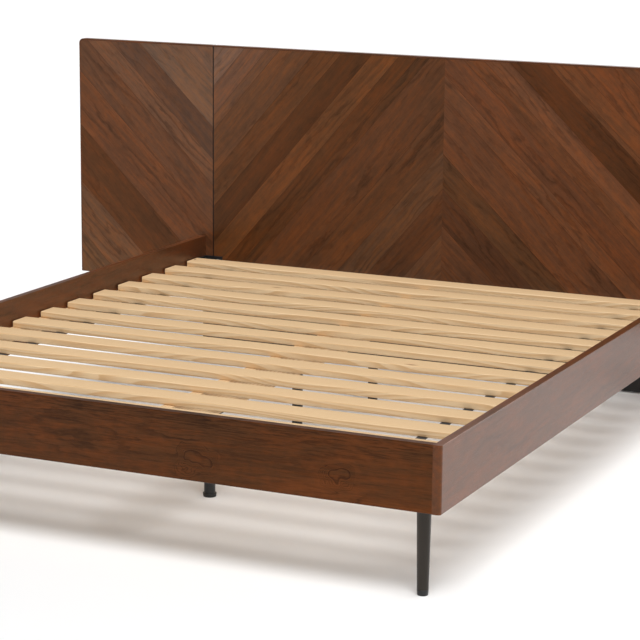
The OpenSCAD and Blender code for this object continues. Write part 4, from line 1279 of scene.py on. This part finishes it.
def strap_mesh():
    """Both straps, lying flat under each slat and hanging a little slack between them."""
    shape = bmesh.new()
    weave = shape.loops.layers.uv.new("weave")
    thick = strap_high.z - strap_low.z
    steps = int((strap_high.y - strap_low.y) / STRAP_STEP)
    for solid in solids_of("slat_straps"):
        left = min(p.x for p in solid)
        right_side = max(p.x for p in solid)
        sections = []
        for step in range(steps + 1):
            y = strap_low.y + (strap_high.y - strap_low.y) * step / steps
            gap = next(((b, c) for (_, b), (c, _) in zip(slat_rows, slat_rows[1:]) if b < y < c), None)
            slack = 0.0
            if gap:
                share = (y - gap[0]) / (gap[1] - gap[0])
                slack = STRAP_SAG * 4 * share * (1 - share)
            under = strap_low.z - slack
            lower = under + thick * SELVEDGE_LOW
            upper = under + thick * SELVEDGE_HIGH
            inset = thick * SELVEDGE
            ring = [
                (left, lower), (left + inset, under), (right_side - inset, under), (right_side, lower),
                (right_side, upper), (right_side - inset, under + thick), (left + inset, under + thick),
                (left, upper)]
            sections.append([shape.verts.new((x, y, z)) for x, z in ring])
        for first, second in zip(sections, sections[1:]):
            for k in range(len(first)):
                after = (k + 1) % len(first)
                shape.faces.new((first[k], first[after], second[after], second[k]))
        shape.faces.new(sections[0])
        shape.faces.new(sections[-1])
    bmesh.ops.recalc_face_normals(shape, faces=shape.faces)
    for face in shape.faces:
        for loop in face.loops:
            loop[weave].uv = (loop.vert.co.y, loop.vert.co.x)
    mesh = bpy.data.meshes.new("straps")
    shape.to_mesh(mesh)
    shape.free()
    mesh.materials.append(webbing)
    mesh.shade_smooth()
    mesh.set_sharp_from_angle(angle=EDGE)
    return mesh


piece("slat_straps_woven", strap_mesh(), "bed", "webbing", "slat_straps")


BEND_STEPS = 3
WIRE_SIDES = 8


def staple_group():
    """A bent wire staple at each point."""
    made, tree, given = group_of("staples", ("Crown width", "Leg length", "Wire radius", "Bend radius"))
    loop = tree.node("GeometryNodeCurvePrimitiveQuadrilateral", {"mode": "RECTANGLE"}, {
        "Width": given.also("Crown width"), "Height": given.also("Leg length")})
    bent = tree.node("GeometryNodeFilletCurve", {"mode": "POLY"}, {
        "Curve": loop, "Count": BEND_STEPS, "Radius": given.also("Bend radius")})
    wire = tree.node("GeometryNodeCurvePrimitiveCircle", {}, {
        "Resolution": WIRE_SIDES, "Radius": given.also("Wire radius")})
    staple = tree.node("GeometryNodeCurveToMesh", {}, {"Curve": bent, "Profile Curve": wire})
    stood = tree.node("GeometryNodeTransform", {}, {
        "Geometry": staple, "Rotation": (math.pi / 2, 0.0, 0.0),
        "Translation": tree.vector(0.0, 0.0, given.also("Leg length") * 0.5)})
    stand(tree, given, tree.node("GeometryNodeInstanceOnPoints", {}, {"Points": given, "Instance": stood}))
    return made


CROWN_W = 0.0115
STAPLE_LEG = 0.008
STAPLE_R = 0.0005
STAPLE_BEND = 0.0008
crown_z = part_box("strap_staples")[0].z + STAPLE_R
staple_places = []
for solid in solids_of("strap_staples"):
    middle_x = sum(p.x for p in solid) / len(solid)
    middle_y = sum(p.y for p in solid) / len(solid)
    staple_places.append(Vector((middle_x, middle_y, crown_z)))
staples = grown("staples_made", staple_places, staple_group(), {
    "Crown width": CROWN_W, "Leg length": STAPLE_LEG, "Wire radius": STAPLE_R, "Bend radius": STAPLE_BEND,
    "Finish": zinc})
staples.shade_smooth()
piece("strap_staples_bent", staples, "bed", "zinc", "strap_staples")


# ---------------------------------------------------------------- Floor, light and camera
# The bed stands on a plain white floor under a large soft light, and is seen from in front of its
# right foot corner, from just above head height of someone seated.


FLOOR_CLOUD = ((0.8, 0.8, 0.8), 2.0)
FLOOR_WHITE = (0.86, 0.86, 0.86, 1.0)
FLOOR_WHITEST = (0.90, 0.90, 0.90, 1.0)


def floor_paint(tree):
    """Matt white floor with a very faint unevenness."""
    cloud = tree.noise(tree.in_metres(), *FLOOR_CLOUD)
    return {"Base Color": tree.mix(cloud, FLOOR_WHITE, FLOOR_WHITEST), "Roughness": 0.9}


FLOOR_HALF = 60.0
floor_shape = bmesh.new()
bmesh.ops.create_grid(floor_shape, x_segments=1, y_segments=1, size=FLOOR_HALF)
floor_mesh = bpy.data.meshes.new("floor")
floor_shape.to_mesh(floor_mesh)
floor_shape.free()
floor_mesh.materials.append(finish_of("floor_white", floor_paint))
floor = bpy.data.objects.new("floor", floor_mesh)
bpy.context.scene.collection.objects.link(floor)

FRONT_LIGHT = 0.24          # brightness of the studio in front of the bed, and of its white back wall
BACK_LIGHT = 4.0
WALL_TO_NORTH = 0.88        # which way the back wall lies from the bed
WALL_TO_EAST = 0.48
WALL_WHITE = 1.1            # how bright the studio's walls look beyond the floor
sky = bpy.data.worlds.new("studio")
sky.use_nodes = True
sky_tree = Tree(sky.node_tree)
east, north, height = sky_tree.node("ShaderNodeTexCoord", {}, {}).parts()
wall = (north * WALL_TO_NORTH + east * WALL_TO_EAST).soft_step(0.45, 0.95)
behind = wall * height.soft_step(0.22, 0.60, 1.0, 0.0)
seen = sky_tree.node("ShaderNodeLightPath", {}, {})
lit = FRONT_LIGHT + behind * (BACK_LIGHT - FRONT_LIGHT)
brightness = lit + seen * (WALL_WHITE - lit)
sky_light = sky_tree.node("ShaderNodeBackground", {}, {
    "Color": (1.0, 1.0, 1.0, 1.0), "Strength": brightness})
sky_tree.node("ShaderNodeOutputWorld", {}, {"Surface": sky_light})
bpy.context.scene.world = sky

TOP_LIGHT = 3.2             # watts on each square metre of floor
TOP_LIGHT_SPREAD = math.radians(40)
TOP_LIGHT_WAY = Vector((-0.30, 0.48, -1.0))
overhead = bpy.data.lights.new("overhead", "SUN")
overhead.energy = TOP_LIGHT
overhead.angle = TOP_LIGHT_SPREAD
overhead_lamp = bpy.data.objects.new("overhead", overhead)
overhead_lamp.rotation_euler = TOP_LIGHT_WAY.to_track_quat("-Z", "Y").to_euler()
bpy.context.scene.collection.objects.link(overhead_lamp)

CAMERA_X = 2.56019
CAMERA_FROM_FOOT = 4.38087
CAMERA_Z = 1.62261
CAMERA_TURN = 0.43203       # to the left of straight ahead, in radians
CAMERA_DIP = 0.20907        # below the horizon
CAMERA_ROLL = -0.00956
SENSOR = 36.0
FOCAL_SHARE = 2314.14 / 640  # focal length as a part of the picture's width
FARTHEST = 200.0
eye = Vector((CAMERA_X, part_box("foot_rail")[0].y - CAMERA_FROM_FOOT, CAMERA_Z))
ahead = Vector((
    -math.sin(CAMERA_TURN) * math.cos(CAMERA_DIP),
    math.cos(CAMERA_TURN) * math.cos(CAMERA_DIP),
    -math.sin(CAMERA_DIP)))
level_right = Vector((math.cos(CAMERA_TURN), math.sin(CAMERA_TURN), 0.0))
level_up = level_right.cross(ahead)
right = level_right * math.cos(CAMERA_ROLL) - level_up * math.sin(CAMERA_ROLL)
up = level_right * math.sin(CAMERA_ROLL) + level_up * math.cos(CAMERA_ROLL)
lens = bpy.data.cameras.new("camera")
lens.sensor_width = SENSOR
lens.lens = SENSOR * FOCAL_SHARE
lens.clip_end = FARTHEST
camera = bpy.data.objects.new("camera", lens)
turned_to = Matrix((right, up, -ahead)).transposed().to_4x4()
camera.matrix_world = Matrix.Translation(eye) @ turned_to
bpy.context.scene.collection.objects.link(camera)
bpy.context.scene.camera = camera
bpy.context.scene.view_settings.view_transform = "Standard"
